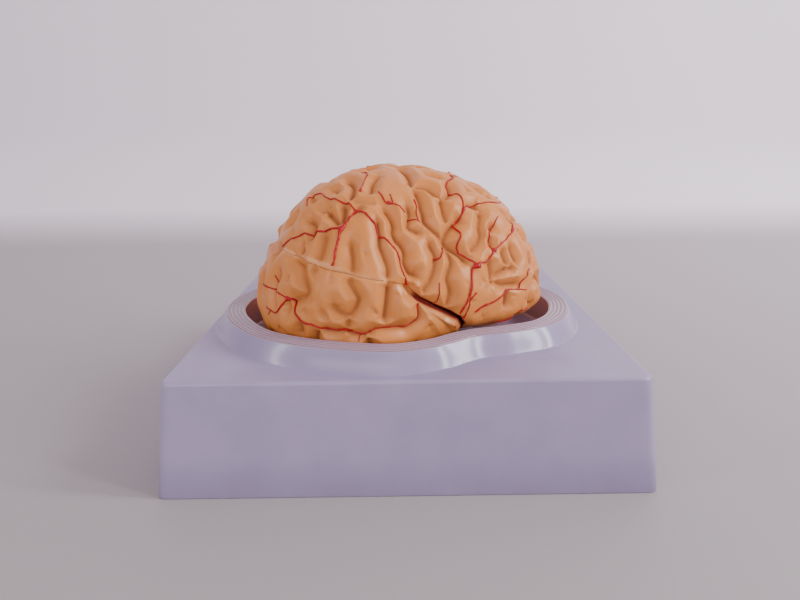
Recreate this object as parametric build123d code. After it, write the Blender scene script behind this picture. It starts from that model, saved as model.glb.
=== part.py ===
from build123d import *
from build123d.topology import SkipClean
import math
import os

# Life-size brain model in eight pieces on a moulded base, in millimetres.
# X runs to the front of the brain, Z is up, and the origin is the centre of the base at its foot.
# The right half faces -Y. The left half is its mirror image about the middle plane y = MID_Y.

# Base shell
BASE_SIDE = 225.0
BASE_HEIGHT = 56.2
BASE_DRAFT = 5.3
BASE_CORNER = 4.0
BASE_EDGE = 1.6
BASE_WALL = 2.5

# Raised collar round the cavity: half outlines from the back to the front, as (x, distance from mid-plane)
COLLAR_RISE = 9.8
COLLAR_FOOT = [(-109, 0), (-105, 23), (-92, 48), (-74, 67), (-47, 80.5), (-10, 88.5),
               (16, 82), (37, 68), (56, 62), (78, 51.5), (94, 31), (101, 0)]
COLLAR_FLANK = 5.0
RIM_BAND = 11.4
SHELF_Z = 49.0
POCKET = [(-78, 0), (-73, 27), (-60, 46), (-38, 60), (-12, 63), (10, 56), (19, 36), (21, 0)]
POCKET_FLOOR_Z = 37.0
# Wells below the pocket floor, as (x of the middle, half length, half width, floor height)
CEREBELLUM_WELL = (-49.5, 28.0, 46.0, 17.0)
STEM_WELL = (-11.0, 22.5, 17.0, 9.5)

# Brain envelope: half lengths, half widths and half heights of a rounded box that swells like an ellipsoid
MID_Y = -18.0
BRAIN_X = -7.8
BRAIN_Z = 73.1
LENGTH_FRONT = 86.8
LENGTH_BACK = 76.8
HEIGHT_UP = 71.6
DEPTH_BACK = 41.0
DEPTH_FRONT = 19.0
HALF_WIDTH_BACK = 70.5
HALF_WIDTH_FRONT = 60.0
ROUNDNESS = 2.08
# Hollows of the envelope: direction (forward, sideways, up), share of the radius taken off, spread in radians
HOLLOWS = [((0.62, 0.72, -0.32), 0.10, 0.20), ((-0.80, 0.3, 0.5), 0.057, 0.30), ((0.8, 0.35, -0.5), 0.043, 0.25)]
PATCH_REACH = 112.0
PATCH_POINTS = 21
# The curved face is parted along these planes, so that no one face wraps round the whole side
PARTING_X = (-42.0, -2.0, 40.0)
PARTING_Z = (66.0, 98.0)

# Clearances: at the middle plane, each side of the seam, round the seated pieces, over the pocket, round pins
HALF_GAP = 0.2
SEAM_GAP = 0.4
SEAT_GAP = 0.3
FLOOR_GAP = 0.1
PIN_GAP = 0.05

# Grooves between the folds: V section, width at the surface and depth
FOLD_WIDTH = 5.6
FOLD_DEPTH = 4.0
FISSURE_WIDTH = 5.8
FISSURE_DEPTH = 5.5
GROOVE_LIFT = 2.5
GROOVE_RUN_OUT = 0.4
GROOVE_END_SHARE = 0.3

# Courses on the side of the brain are in degrees forward and up on a map of that side. The map's zero lies
# this far forward of and above the envelope's side pole, and its degrees are a little longer.
MAP_ZERO = (1.2, 0.5)
MAP_SCALE = (1.03, 1.035)
# The seam parts the frontoparietal from the temporo-occipital piece. Its first stretch is one flat face,
# which a dowel pin crosses square, and the rest follows the Sylvian fissure down to the underside.
SEAM_FLAT = [(-52, 29), (-31, 24.3), (-15, 19.8), (-3, 17.6)]
SEAM_FISSURE = [(-3, 17.6), (5, 16), (12, 10), (26, 0.5), (32, -6)]
SEAM_TAIL = 40.0
FISSURE_FOOT = (35, -16)
UPPER_GROOVES = [
    [(-25, 69), (-19.5, 62), (-19.5, 51.5), (-11, 50), (-5, 49.5), (0, 44), (1, 38), (5.5, 29), (10.5, 19)],
    [(-34, 62.5), (-27.5, 59)],
    [(-7, 70), (-9.7, 60), (-13, 55.5)],
    [(-12.5, 52), (-15.8, 44)],
    [(-35, 49), (-27, 45), (-20, 38)],
    [(-30, 52), (-28.5, 44.5)],
    [(-21, 53), (-21, 44.5), (-22, 38)],
    [(-7.5, 46), (-5.5, 38), (-4.5, 31), (-2, 24), (-2, 16)],
    [(-42, 46), (-36, 41.5), (-36.5, 31.5)],
    [(-29, 39), (-28.8, 33), (-30, 22)],
    [(-41.5, 35), (-40, 25)],
    [(-52, 54), (-54, 46), (-57, 42)],
    [(-17.5, 36), (-16, 28), (-15.5, 18)],
    [(-11, 31), (-10.5, 25)],
    [(4.5, 85), (9, 76), (10, 68), (10.3, 58)],
    [(8.5, 61), (18.5, 61), (23.5, 56), (25, 50), (25.5, 45), (28, 39)],
    [(9.5, 63), (14, 52), (15.5, 44), (21, 38), (25, 32), (26.8, 24), (25, 17), (26.2, 10.5), (24, 1)],
    [(34, 45), (28, 41), (24.5, 35), (26, 31.5), (31.5, 27), (35, 22.5)],
    [(6.5, 53), (8, 44), (8, 40), (16, 37.5)],
    [(15, 36), (19.8, 28), (18.3, 20.5), (14.5, 13.5), (13.5, 8)],
    [(43.5, 50), (41.5, 38), (36, 27)],
    [(46, 36), (46.5, 26)],
    [(57, 31), (56.5, 24), (58.5, 17)],
    [(45, 67), (51, 58), (57, 53)],
    [(19, 76), (25, 71), (31, 69)],
    [(31, 67.5), (30, 56.5), (22.5, 53.5)],
    [(44.5, 14), (49, 17.5), (57, 18)],
    [(55, 9), (56, 1)],
    [(42, 17), (39.5, 12), (36.5, 3)],
    [(40, 2), (43.5, -6)],
]
LOWER_GROOVES = [
    [(-44, 28), (-38.5, 21.5), (-36, 13), (-37, 9.5), (-42, 8)],
    [(-32.5, 26), (-31.7, 18.5)],
    [(-17, 21), (-13.5, 11), (-14.5, 6), (-18.5, 4), (-23, 9)],
    [(-17, 6), (-17, 1), (-18, -5)],
    [(-1, 19), (-2, 9), (-3, -2)],
    [(-29, 8.5), (-25.5, -1)],
    [(-37, 12), (-30, 9)],
    [(-39.5, 2), (-38.5, -5), (-40.5, -13)],
    [(-31, 0), (-23.5, -3), (-12, -4), (-5, -1.5), (4, -2), (10, 0), (12, 4), (11, 12)],
    [(11, 4.5), (21, -2)],
    [(7.5, -1), (10, -9)],
    [(-46, 9), (-45, 0)],
    [(-52, 22), (-56, 12), (-54, 0)],
    [(-66, 19), (-71, 4), (-66, -9)],
    [(-8, -2), (-11, -15)],
]
# Folds of the crown, the brow and the back of the head
CROWN_GROOVES = [
    [(-12, 87), (-14, 76), (-7.5, 69)],
    [(-40, 75), (-43, 65), (-53, 61)],
    [(-29, 83), (-26, 73)],
    [(-64, 60), (-69, 50)],
    [(-68, 47), (-66, 34), (-72, 23)],
    [(33, 83), (38, 73), (35, 64)],
    [(55, 69), (63, 59)],
    [(64, 54), (68, 42), (65, 33), (71, 21)],
    [(62, 44), (51, 37)],
    [(80, 10), (79, 29)],
    [(72, 11), (66, 0), (57, -9)],
]

# Dowel pins
PIN_DIAMETER = 3.0
PIN_LENGTH = 16.0
LOBE_PIN = (-34.0, 32.0)
MID_PIN = (-60.0, 78.0)
STEM_MID_PIN = (-4.0, 62.0)
CEREBELLUM_PIN = (-52.0, 18.0)

# Cerebellum and brain stem
CEREBELLUM_CENTRE = (-50.0, 39.0)
CEREBELLUM_RADII = (25.0, 43.0, 19.5)
# The cerebellum's roof is flat under the occipital lobe: height at the middle, fall per mm sideways
ROOF_Z = 54.0
ROOF_FALL = 0.28
FOLIA = 4
FOLIA_LOW = -55.0
FOLIA_HIGH = 5.0
FOLIA_WIDTH = 1.8
FOLIA_DEPTH = 1.5
STEM_TOP = (2.0, 84.0)
STEM_FOOT = (-21.0, 13.5)
# Pons, a bulge across the stem: share of the run from the foot, reach in front of its axis, radius, half width
PONS = (0.38, 5.0, 10.5, 13.5)
# Radius of the stem along its run, as (share of the run from the foot, radius)
STEM_PROFILE = [(0.0, 6.0), (0.3, 8.5), (0.64, 9.5), (0.85, 14.0)]

# Half size of a box that holds the whole brain with room to spare
AROUND = 130.0


def smooth(t):
    t = min(max(t, 0.0), 1.0)
    return t * t * (3 - 2 * t)


def brain_radius(forward, side, up):
    """Distance from the brain's centre to its envelope along a unit direction."""
    length = LENGTH_FRONT if forward > 0 else LENGTH_BACK
    width = HALF_WIDTH_BACK + (HALF_WIDTH_FRONT - HALF_WIDTH_BACK) * smooth((forward + 0.25) / 0.75)
    depth = DEPTH_BACK + (DEPTH_FRONT - DEPTH_BACK) * smooth((forward - 0.05) / 0.7)
    height = HEIGHT_UP if up > 0 else depth
    parts = abs(forward) / length, abs(side) / width, abs(up) / height
    radius = sum(part ** ROUNDNESS for part in parts) ** (-1 / ROUNDNESS)
    for axis, share, spread in HOLLOWS:
        angle = Vector(forward, abs(side), up).get_angle(Vector(*axis))
        radius *= 1 - share * math.exp(-(math.radians(angle) / spread) ** 2 / 2)
    return radius


def brain_point(p, q):
    """Point of the right side's envelope, p degrees forward and q degrees up from its side pole."""
    reach = math.radians(math.hypot(p, q))
    turn = math.atan2(q, p)
    forward = math.sin(reach) * math.cos(turn)
    up = math.sin(reach) * math.sin(turn)
    side = math.cos(reach)
    radius = brain_radius(forward, side, up)
    return Vector(BRAIN_X + forward * radius, MID_Y - side * radius, BRAIN_Z + up * radius)


def course_point(p, q):
    """Point of the right side's envelope at a place on the map of that side."""
    return brain_point(MAP_ZERO[0] + MAP_SCALE[0] * p, MAP_ZERO[1] + MAP_SCALE[1] * q)


def cerebellum_point(p, q):
    """Point of the right cerebellum's surface, in degrees round from its side pole and up."""
    x0, z0 = CEREBELLUM_CENTRE
    rx, ry, rz = CEREBELLUM_RADII
    turn, lift = math.radians(p), math.radians(q)
    return Vector(x0 + rx * math.sin(turn) * math.cos(lift),
                  MID_Y - ry * math.cos(turn) * math.cos(lift),
                  z0 + rz * math.sin(lift))


def surface_normal(surface, p, q):
    """Outward normal of a surface that is given by degrees forward and up."""
    along = surface(p + 0.5, q) - surface(p - 0.5, q)
    across = surface(p, q + 0.5) - surface(p, q - 0.5)
    return along.cross(across).normalized()


def groove(course, surface, width, depth):
    """V-shaped cutter that follows a course on a surface and runs out at both ends, in flat facets."""
    stations = [toward(course[0], course[1], GROOVE_END_SHARE)] + course[1:-1]
    stations.append(toward(course[-1], course[-2], GROOVE_END_SHARE))
    points = [surface(*station) for station in stations]
    normals = [surface_normal(surface, *station) for station in stations]
    start, end = (surface(*tip) + surface_normal(surface, *tip) * GROOVE_RUN_OUT for tip in (course[0], course[-1]))
    path = [start] + points + [end]
    sections = []
    for i, (point, normal) in enumerate(zip(points, normals)):
        forward = (path[i + 2] - path[i]).normalized()
        across = normal.cross(forward).normalized() * (width / 2 * (depth + GROOVE_LIFT) / depth)
        top = point + normal * GROOVE_LIFT
        sections.append([point - normal * depth, top + across, top - across])
    corners = [(0, 1), (1, 2), (2, 0)]
    facets = [(start, sections[0][b], sections[0][a]) for a, b in corners]
    facets += [(end, sections[-1][a], sections[-1][b]) for a, b in corners]
    for low, high in zip(sections, sections[1:]):
        for a, b in corners:
            facets += [(low[a], low[b], high[b]), (low[a], high[b], high[a])]
    return Solid(Shell([Face(Wire.make_polygon(facet)) for facet in facets]))


def toward(here, there, share):
    return tuple(a + (b - a) * share for a, b in zip(here, there))


def envelope_patch():
    """Cup-shaped face over the right side, carried past the middle plane."""
    rows = []
    steps = [2 * i / (PATCH_POINTS - 1) - 1 for i in range(PATCH_POINTS)]
    for t in steps:
        row = []
        for s in steps:
            p = PATCH_REACH * s * math.sqrt(1 - t * t / 2)
            q = PATCH_REACH * t * math.sqrt(1 - s * s / 2)
            row.append(brain_point(p, q))
        rows.append(row)
    return Face.make_surface_from_array_of_points(rows, tol=0.05)


def right_space():
    """Space of the right half, short of the middle plane by its share of the gap there."""
    return Pos(0, MID_Y - HALF_GAP - AROUND / 2, BRAIN_Z) * Box(2 * AROUND, AROUND, 2 * AROUND)


def largest(shape):
    return max(shape.solids(), key=lambda solid: solid.volume)


def right_half():
    """Right half of the cerebrum with a flat middle face, still without grooves."""
    parts = right_space().split(envelope_patch(), keep=Keep.BOTH)
    return min((solid for part in parts for solid in part.solids()), key=lambda solid: solid.volume)


def parted(solid):
    """The same solid with its faces parted along a few planes."""
    planes = [Plane((x, 0, 0), z_dir=(1, 0, 0)) for x in PARTING_X]
    planes += [Plane((0, 0, z), z_dir=(0, 0, 1)) for z in PARTING_Z]
    blocks = [solid]
    for plane in planes:
        halves = [half for block in blocks for half in block.split(plane, keep=Keep.BOTH) if half is not None]
        blocks = [block for half in halves for block in half.solids()]
    return largest(blocks[0].fuse(*blocks[1:]))


def seam_line():
    """Seam in side view, as (x, z) from behind the brain to below it."""
    back, bend = course_point(*SEAM_FLAT[0]), course_point(*SEAM_FLAT[-1])
    slope = (bend.Z - back.Z) / (bend.X - back.X)
    line = [(-AROUND, bend.Z + slope * (-AROUND - bend.X))]
    line += [(point.X, point.Z) for point in (course_point(*place) for place in SEAM_FISSURE)]
    return line + [(line[-1][0] + 2.0, line[-1][1] - SEAM_TAIL)]


def seam_frame(x, side):
    """Plane on the flat stretch of the seam at x and a distance from the middle, facing up."""
    (x0, z0), (x1, z1) = seam_line()[:2]
    rise = (z1 - z0) / (x1 - x0)
    along = Vector(1, 0, rise).normalized()
    return Plane((x, MID_Y - side, z0 + rise * (x - x0)), x_dir=along, z_dir=Vector(-along.Z, 0, along.X))


def above_seam(gap):
    """Prism above the seam, raised by a gap square to its flat stretch."""
    lift = seam_frame(0, 0).z_dir * gap
    line = [(x + lift.X, z + lift.Z) for x, z in seam_line()]
    top = BRAIN_Z + AROUND
    corners = line + [(AROUND, line[-1][1]), (AROUND, top), (line[0][0], top)]
    return extrude(Plane.XZ * make_face(Polyline(*corners, close=True)), amount=AROUND, both=True)


def grooves(courses, width, depth):
    return [groove(course, course_point, width, depth) for course in courses]


def pin_frames():
    """Plane through the middle of each dowel pin, square to it, for the right half and the middle."""
    x_cer, side_cer = CEREBELLUM_PIN
    z_cer = ROOF_Z - ROOF_FALL * side_cer
    return {
        "lobe_pin": seam_frame(*LOBE_PIN),
        "cerebellum_pin": Plane((x_cer, MID_Y - side_cer, z_cer), z_dir=(0, 0, 1)),
    }


def middle_pin_frames():
    return {
        "occipital_middle_pin": Plane((MID_PIN[0], MID_Y, MID_PIN[1]), z_dir=(0, 1, 0)),
        "brainstem_middle_pin": Plane((STEM_MID_PIN[0], MID_Y, STEM_MID_PIN[1]), z_dir=(0, 1, 0)),
    }


def pin(frame):
    return frame * Cylinder(PIN_DIAMETER / 2, PIN_LENGTH)


def pin_bore(frame):
    return frame * Cylinder(PIN_DIAMETER / 2 + PIN_GAP, PIN_LENGTH + 2 * SEAT_GAP)


def stem_axis():
    (x1, z1), (x0, z0) = STEM_TOP, STEM_FOOT
    return Plane((x0, MID_Y, z0), x_dir=(0, 1, 0), z_dir=(x1 - x0, 0, z1 - z0)), math.hypot(x1 - x0, z1 - z0)


def stem(grow):
    """Thalamus, midbrain, pons and medulla as one turned form along the tilted stem, with the pons bulge."""
    frame, run = stem_axis()
    outline = [(radius + grow, share * run - (grow if share == 0 else 0)) for share, radius in STEM_PROFILE]
    top = (0, run + grow)
    face = make_face(Polyline(*outline, top, (0, -grow), close=True))
    turned = frame * revolve(Plane.XZ * face, Axis.Z)
    share, reach, radius, half_width = PONS
    centre = frame.origin + frame.z_dir * (share * run) + Vector(frame.z_dir.Z, 0, -frame.z_dir.X) * reach
    pons = Pos(*centre) * Rot(90, 0, 0) * Cylinder(radius + grow, 2 * (half_width + grow))
    return turned + pons


def under_roof(grow):
    """Space of the right half under the cerebellum's roof."""
    low, high = -20.0, ROOF_Z + grow
    reach = 80.0
    corners = [(0, low), (-reach, low), (-reach, high - ROOF_FALL * reach), (0, high)]
    face = Plane.YZ * make_face(Polyline(*corners, close=True))
    return Pos(CEREBELLUM_CENTRE[0], MID_Y, 0) * extrude(face, amount=reach, both=True)


def cerebellum_body():
    x0, z0 = CEREBELLUM_CENTRE
    return (Pos(x0, MID_Y, z0) * scale(Sphere(1), by=CEREBELLUM_RADII)) & under_roof(0)


def cerebellum_room():
    """Straight-walled space under the occipital lobe that the cerebellum is set into from below."""
    rx, ry, _ = (radius + SEAT_GAP for radius in CEREBELLUM_RADII)
    return (Pos(CEREBELLUM_CENTRE[0], MID_Y, 0) * extrude(Ellipse(rx, ry), ROOF_Z + 10)) & under_roof(SEAT_GAP)


def upper_piece(half, fissure, bores):
    """Frontoparietal piece: the half above the seam, with its folds."""
    with SkipClean():
        body = half & above_seam(SEAM_GAP / 2)
        folds = grooves(UPPER_GROOVES + CROWN_GROOVES, FOLD_WIDTH, FOLD_DEPTH)
        return largest(body - (folds + fissure + bores))


def lower_piece(half, fissure, bores):
    """Temporo-occipital piece: the half below the seam, hollowed for the stem and the cerebellum."""
    floor = Pos(0, MID_Y, POCKET_FLOOR_Z + FLOOR_GAP - AROUND / 2) * Box(2 * AROUND, 2 * AROUND, AROUND)
    hollows = [stem(SEAT_GAP), cerebellum_room(), floor]
    with SkipClean():
        body = largest(half - above_seam(-SEAM_GAP / 2))
        body = largest(body - hollows)
        return largest(body - (grooves(LOWER_GROOVES, FOLD_WIDTH, FOLD_DEPTH) + fissure + bores))


def cerebellum_piece(bore):
    body = largest((cerebellum_body() & right_space()) - stem(SEAT_GAP))
    return largest(body - (folia() + [bore]))


def right_pieces():
    with SkipClean():
        half = parted(right_half())
    frames = pin_frames()
    bores = {name: pin_bore(frame) for name, frame in frames.items()}
    middle_bores = {name: pin_bore(frame) for name, frame in middle_pin_frames().items()}
    fissure = grooves([SEAM_FISSURE[1:] + [FISSURE_FOOT]], FISSURE_WIDTH, FISSURE_DEPTH)
    pieces = {
        "frontoparietal": upper_piece(half, fissure, [bores["lobe_pin"]]),
        "temporo_occipital": lower_piece(half, fissure, [*bores.values(), *middle_bores.values()]),
        "brainstem": largest((stem(0) & right_space()) - middle_bores["brainstem_middle_pin"]),
        "cerebellum": cerebellum_piece(bores["cerebellum_pin"]),
    }
    pieces.update({name: pin(frame) for name, frame in frames.items()})
    return pieces


def folia():
    """Thin level grooves round the cerebellum, evenly spaced in height."""
    cuts = []
    for i in range(FOLIA):
        q = FOLIA_LOW + (FOLIA_HIGH - FOLIA_LOW) * i / (FOLIA - 1)
        course = [(p, q) for p in (-78, -55, -25, 5, 35, 60)]
        cuts.append(groove(course, cerebellum_point, FOLIA_WIDTH, FOLIA_DEPTH))
    return cuts


def outline_points(half_outline, inset):
    """Closed outline from its half, mirrored about the middle and moved inward by an inset."""
    half = [Vector(x, -side) for x, side in half_outline]
    ring = half + [Vector(v.X, -v.Y) for v in half[-2:0:-1]]
    points = []
    for i, here in enumerate(ring):
        along = ring[(i + 1) % len(ring)] - ring[i - 1]
        inward = Vector(-along.Y, along.X).normalized()
        points.append(here + inward * inset + Vector(0, MID_Y))
    return points


def outline_face(half_outline, inset, z):
    ring = outline_points(half_outline, inset)
    return Pos(0, 0, z) * make_face(Spline(*ring, periodic=True))


def outline_loft(half_outline, low, high):
    """Wall between two insets of one outline, each given as (inset, z)."""
    return loft([outline_face(half_outline, *low), outline_face(half_outline, *high)], ruled=True)


def cavity(grow):
    """Stepped space that holds the brain: mouth wall, shelf, pocket floor and wells."""
    mouth = COLLAR_FLANK + RIM_BAND - grow
    top = BASE_HEIGHT + COLLAR_RISE + 1
    upper = outline_loft(COLLAR_FOOT, (mouth, SHELF_Z - grow), (mouth, top))
    pocket = outline_loft(POCKET, (-grow, POCKET_FLOOR_Z - grow), (-grow, SHELF_Z + 1))
    space = upper + pocket
    for x, half_length, half_width, floor in (CEREBELLUM_WELL, STEM_WELL):
        face = Pos(x, MID_Y, floor - grow) * Ellipse(half_length + grow, half_width + grow)
        space += extrude(face, POCKET_FLOOR_Z - floor + 1)
    return space


def block(side_top, height, corner):
    """Square block that widens towards its foot by the draft."""
    foot = RectangleRounded(side_top + 2 * BASE_DRAFT, side_top + 2 * BASE_DRAFT, corner)
    head = Pos(0, 0, height) * RectangleRounded(side_top, side_top, corner)
    return loft([foot, head], ruled=True)


def base_shell():
    outer = block(BASE_SIDE, BASE_HEIGHT, BASE_CORNER)
    outer = fillet(outer.edges().group_by(Axis.Z)[-1], BASE_EDGE)
    rim_z = BASE_HEIGHT + COLLAR_RISE
    outer += outline_loft(COLLAR_FOOT, (0, BASE_HEIGHT - 0.5), (COLLAR_FLANK, rim_z))
    room = block(BASE_SIDE - 2 * BASE_WALL, BASE_HEIGHT - BASE_WALL, BASE_CORNER - 1)
    room += outline_loft(COLLAR_FOOT, (BASE_WALL, BASE_HEIGHT - BASE_WALL - 1),
                         (COLLAR_FLANK + BASE_WALL, rim_z - BASE_WALL))
    return outer - (room - cavity(BASE_WALL)) - cavity(0)


def save(name, shape):
    shape.label = name
    export_step(shape, f"parts/{name}.step")


def main():
    os.makedirs("parts", exist_ok=True)
    save("base_shell", largest(base_shell()))
    middle = Plane((0, MID_Y, 0), z_dir=(0, 1, 0))
    for name, piece in right_pieces().items():
        save(f"right_{name}", piece)
        save(f"left_{name}", mirror(piece, about=middle))
    for name, frame in middle_pin_frames().items():
        save(name, pin(frame))


main()
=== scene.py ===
import math

import bpy
import numpy as np
from mathutils import Matrix, Vector
from mathutils.geometry import delaunay_2d_cdt
from mathutils.kdtree import KDTree


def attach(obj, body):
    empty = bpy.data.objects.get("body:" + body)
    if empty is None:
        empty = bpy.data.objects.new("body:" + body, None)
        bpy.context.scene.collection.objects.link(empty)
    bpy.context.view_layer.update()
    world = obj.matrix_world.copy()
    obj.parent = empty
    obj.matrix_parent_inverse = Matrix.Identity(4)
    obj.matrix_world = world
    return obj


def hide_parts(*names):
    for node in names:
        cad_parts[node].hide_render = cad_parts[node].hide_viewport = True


# Brain model on its base. Lengths are in millimetres and turn into metres where a mesh is made, apart from
# those of the room and its lamps, which are in metres.
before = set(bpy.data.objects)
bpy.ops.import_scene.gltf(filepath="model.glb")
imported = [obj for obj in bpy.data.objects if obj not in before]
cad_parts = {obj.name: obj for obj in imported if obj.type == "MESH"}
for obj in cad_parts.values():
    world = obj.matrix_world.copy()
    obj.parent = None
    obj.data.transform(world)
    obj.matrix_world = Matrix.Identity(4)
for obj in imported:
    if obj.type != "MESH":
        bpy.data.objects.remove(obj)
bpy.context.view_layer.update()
MM = 0.001


# Camera and room: a standing camera in front of the model's right side, and a pale seamless floor that curves
# up into the wall, lit softly from the front, with two narrow window panes on the right.
CAMERA_PLACE = (-4.2, -369.6, 168.2)
CAMERA_YAW, CAMERA_PITCH, CAMERA_ROLL = 0.30, 16.04, -0.60
CAMERA_LENS = 27.72
SENSOR_WIDTH = 36.0
# The floor runs level to the far side and then curves up into the wall
FLOOR_NEAR, FLOOR_END, COVE_RADIUS, WALL_TOP, ROOM_HALF_WIDTH = -4.0, 0.50, 0.16, 2.2, 5.0
# Painted light on the one seamless sheet: the floor is painted darker near the camera and lighter far off,
# and the wall paler still
FLOOR_COLOUR, FLOOR_FAR_COLOUR = (0.342, 0.303, 0.316), (0.43, 0.385, 0.41)
WALL_COLOUR = (0.87, 0.775, 0.86)
# The far tone of the floor starts here, and the wall's tone is full at this height
FLOOR_FADE_START, WALL_FADE_HEIGHT = -0.1, 0.04
FLOOR_ROUGHNESS = 0.6
ROOM_COLOUR, ROOM_STRENGTH = (0.96, 0.90, 0.97), 0.655
# Lamps as (name, place, target, size, power), all but one turned to the middle of the model
MODEL_LOW, MODEL_MIDDLE = (0, 0, 0.05), (0, 0, 0.06)
LAMPS = [
    ("window_left", (0.92, -0.51, 0.60), MODEL_LOW, (0.14, 0.6), 5.6),
    ("window_right", (1.03, -0.22, 0.60), MODEL_LOW, (0.14, 0.6), 5.6),
    ("ceiling", (0.1, 0.05, 1.2), MODEL_LOW, (0.9, 0.9), 1.0),
    ("room_front", (-0.45, -1.5, 0.55), MODEL_MIDDLE, (1.6, 0.8), 13.0),
    ("backdrop", (1.25, -0.1, 1.25), (0.85, 0.66, 0.75), (0.4, 0.4), 12.0),
    ("lamp", (-0.98, -0.42, 0.54), MODEL_MIDDLE, (0.04, 0.5), 1.6),
]


def add_camera():
    """Camera turned by yaw, pitch and roll from a level view towards the far wall."""
    yaw, pitch, roll = (math.radians(a) for a in (CAMERA_YAW, CAMERA_PITCH, CAMERA_ROLL))
    ahead = Vector((math.sin(yaw), math.cos(yaw), 0))
    forward = ahead * math.cos(pitch) - Vector((0, 0, math.sin(pitch)))
    up = ahead * math.sin(pitch) + Vector((0, 0, math.cos(pitch)))
    right = forward.cross(up)
    right, up = right * math.cos(roll) + up * math.sin(roll), up * math.cos(roll) - right * math.sin(roll)
    data = bpy.data.cameras.new("camera")
    data.lens, data.sensor_width = CAMERA_LENS, SENSOR_WIDTH
    data.clip_start, data.clip_end = 0.01, 50
    camera = bpy.data.objects.new("camera", data)
    bpy.context.collection.objects.link(camera)
    turn = Matrix((right, up, -forward)).transposed().to_4x4()
    camera.matrix_world = Matrix.Translation(Vector(CAMERA_PLACE) * MM) @ turn
    bpy.context.scene.camera = camera


def add_area_light(name, place, target, size, power):
    """White rectangular lamp at a place, turned to a target, with its power in watts."""
    data = bpy.data.lights.new(name, "AREA")
    data.shape, data.size, data.size_y = "RECTANGLE", size[0], size[1]
    data.energy = power
    light = bpy.data.objects.new(name, data)
    bpy.context.collection.objects.link(light)
    light.location = place
    light.rotation_euler = (Vector(target) - Vector(place)).to_track_quat("-Z", "Y").to_euler()


def new_material(name):
    """Material with its nodes, links and shader."""
    material = bpy.data.materials.new(name)
    material.use_nodes = True
    nodes = material.node_tree.nodes
    return material, nodes, material.node_tree.links, nodes["Principled BSDF"]


def map_range(nodes, links, value, low, high, to_low=0.0, to_high=1.0):
    """Value stretched from one range to another and held inside it."""
    ranged = nodes.new("ShaderNodeMapRange")
    ranged.inputs["From Min"].default_value = low
    ranged.inputs["From Max"].default_value = high
    ranged.inputs["To Min"].default_value = to_low
    ranged.inputs["To Max"].default_value = to_high
    links.new(value, ranged.inputs["Value"])
    return ranged.outputs["Result"]


def mix_colours(nodes, links, factor, first, second):
    """Mix of two colours, each given as numbers or as another node's output."""
    mix = nodes.new("ShaderNodeMix")
    mix.data_type = "RGBA"
    for socket, value in ((mix.inputs[0], factor), (mix.inputs[6], first), (mix.inputs[7], second)):
        if isinstance(value, bpy.types.NodeSocket):
            links.new(value, socket)
        elif isinstance(value, float):
            socket.default_value = value
        else:
            socket.default_value = (*value, 1)
    return mix.outputs[2]


def add_room():
    """Pale seamless floor and wall in soft light, with light painted on: the floor lighter far off and the
    wall paler still.
    """
    profile = [(FLOOR_NEAR, 0.0), (FLOOR_END, 0.0)]
    for turn in np.radians(np.arange(5, 91, 5)):
        profile.append((FLOOR_END + COVE_RADIUS * math.sin(turn), COVE_RADIUS * (1 - math.cos(turn))))
    profile.append((FLOOR_END + COVE_RADIUS, WALL_TOP))
    points = [(x, y, z) for y, z in profile for x in (-ROOM_HALF_WIDTH, ROOM_HALF_WIDTH)]
    faces = [(2 * i, 2 * i + 1, 2 * i + 3, 2 * i + 2) for i in range(len(profile) - 1)]
    mesh = bpy.data.meshes.new("floor")
    mesh.from_pydata(points, [], faces)
    mesh.polygons.foreach_set("use_smooth", [True] * len(faces))
    floor = bpy.data.objects.new("floor", mesh)
    bpy.context.collection.objects.link(floor)
    material, nodes, links, shader = new_material("floor")
    place = nodes.new("ShaderNodeSeparateXYZ")
    links.new(nodes.new("ShaderNodeTexCoord").outputs["Object"], place.inputs[0])
    away = map_range(nodes, links, place.outputs["Y"], FLOOR_FADE_START, FLOOR_END)
    ground = mix_colours(nodes, links, away, FLOOR_COLOUR, FLOOR_FAR_COLOUR)
    height = map_range(nodes, links, place.outputs["Z"], 0.0, WALL_FADE_HEIGHT)
    links.new(mix_colours(nodes, links, height, ground, WALL_COLOUR), shader.inputs["Base Color"])
    shader.inputs["Roughness"].default_value = FLOOR_ROUGHNESS
    mesh.materials.append(material)
    world = bpy.data.worlds.new("room")
    world.use_nodes = True
    glow = world.node_tree.nodes["Background"]
    glow.inputs["Color"].default_value = (*ROOM_COLOUR, 1)
    glow.inputs["Strength"].default_value = ROOM_STRENGTH
    bpy.context.scene.world = world


add_camera()
add_room()
for lamp in LAMPS:
    add_area_light(*lamp)


# Base shell: one moulding in lavender-grey plastic, open below, with a raised collar round the stepped
# cavity. Fine contour ridges run round the collar's top, and every edge has a small moulded radius. The
# brain's warm reflection is painted in mauve into the cavity and onto the rim, and shade is painted into the
# valleys between the ridges.
MID_Y = -18.0
BASE_SIDE, BASE_HEIGHT, BASE_DRAFT, BASE_CORNER, BASE_EDGE, BASE_WALL = 225.0, 56.2, 5.3, 4.0, 1.6, 2.5
COLLAR_RISE, COLLAR_FLANK, RIM_BAND = 9.8, 5.0, 11.4
COLLAR_FOOT = [(-109, 0), (-105, 23), (-92, 48), (-74, 67), (-47, 80.5), (-10, 88.5),
               (16, 82), (37, 68), (56, 62), (78, 51.5), (94, 31), (101, 0)]
POCKET = [(-78, 0), (-73, 27), (-60, 46), (-38, 60), (-12, 63), (10, 56), (19, 36), (21, 0)]
SHELF_Z, POCKET_FLOOR_Z = 49.0, 37.0
# Wells in the pocket's floor, as (x of the middle, half length, half width, height), and their walls' run
WELLS, WELL_WALL = [(-49.5, 28.0, 46.0, 17.0), (-11.0, 22.5, 17.0, 9.5)], 1.5
RING_CENTRE = np.array((-6.0, MID_Y))
BASE_LAVENDER = ((0.278, 0.226, 0.360), (0.308, 0.254, 0.392))
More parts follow.
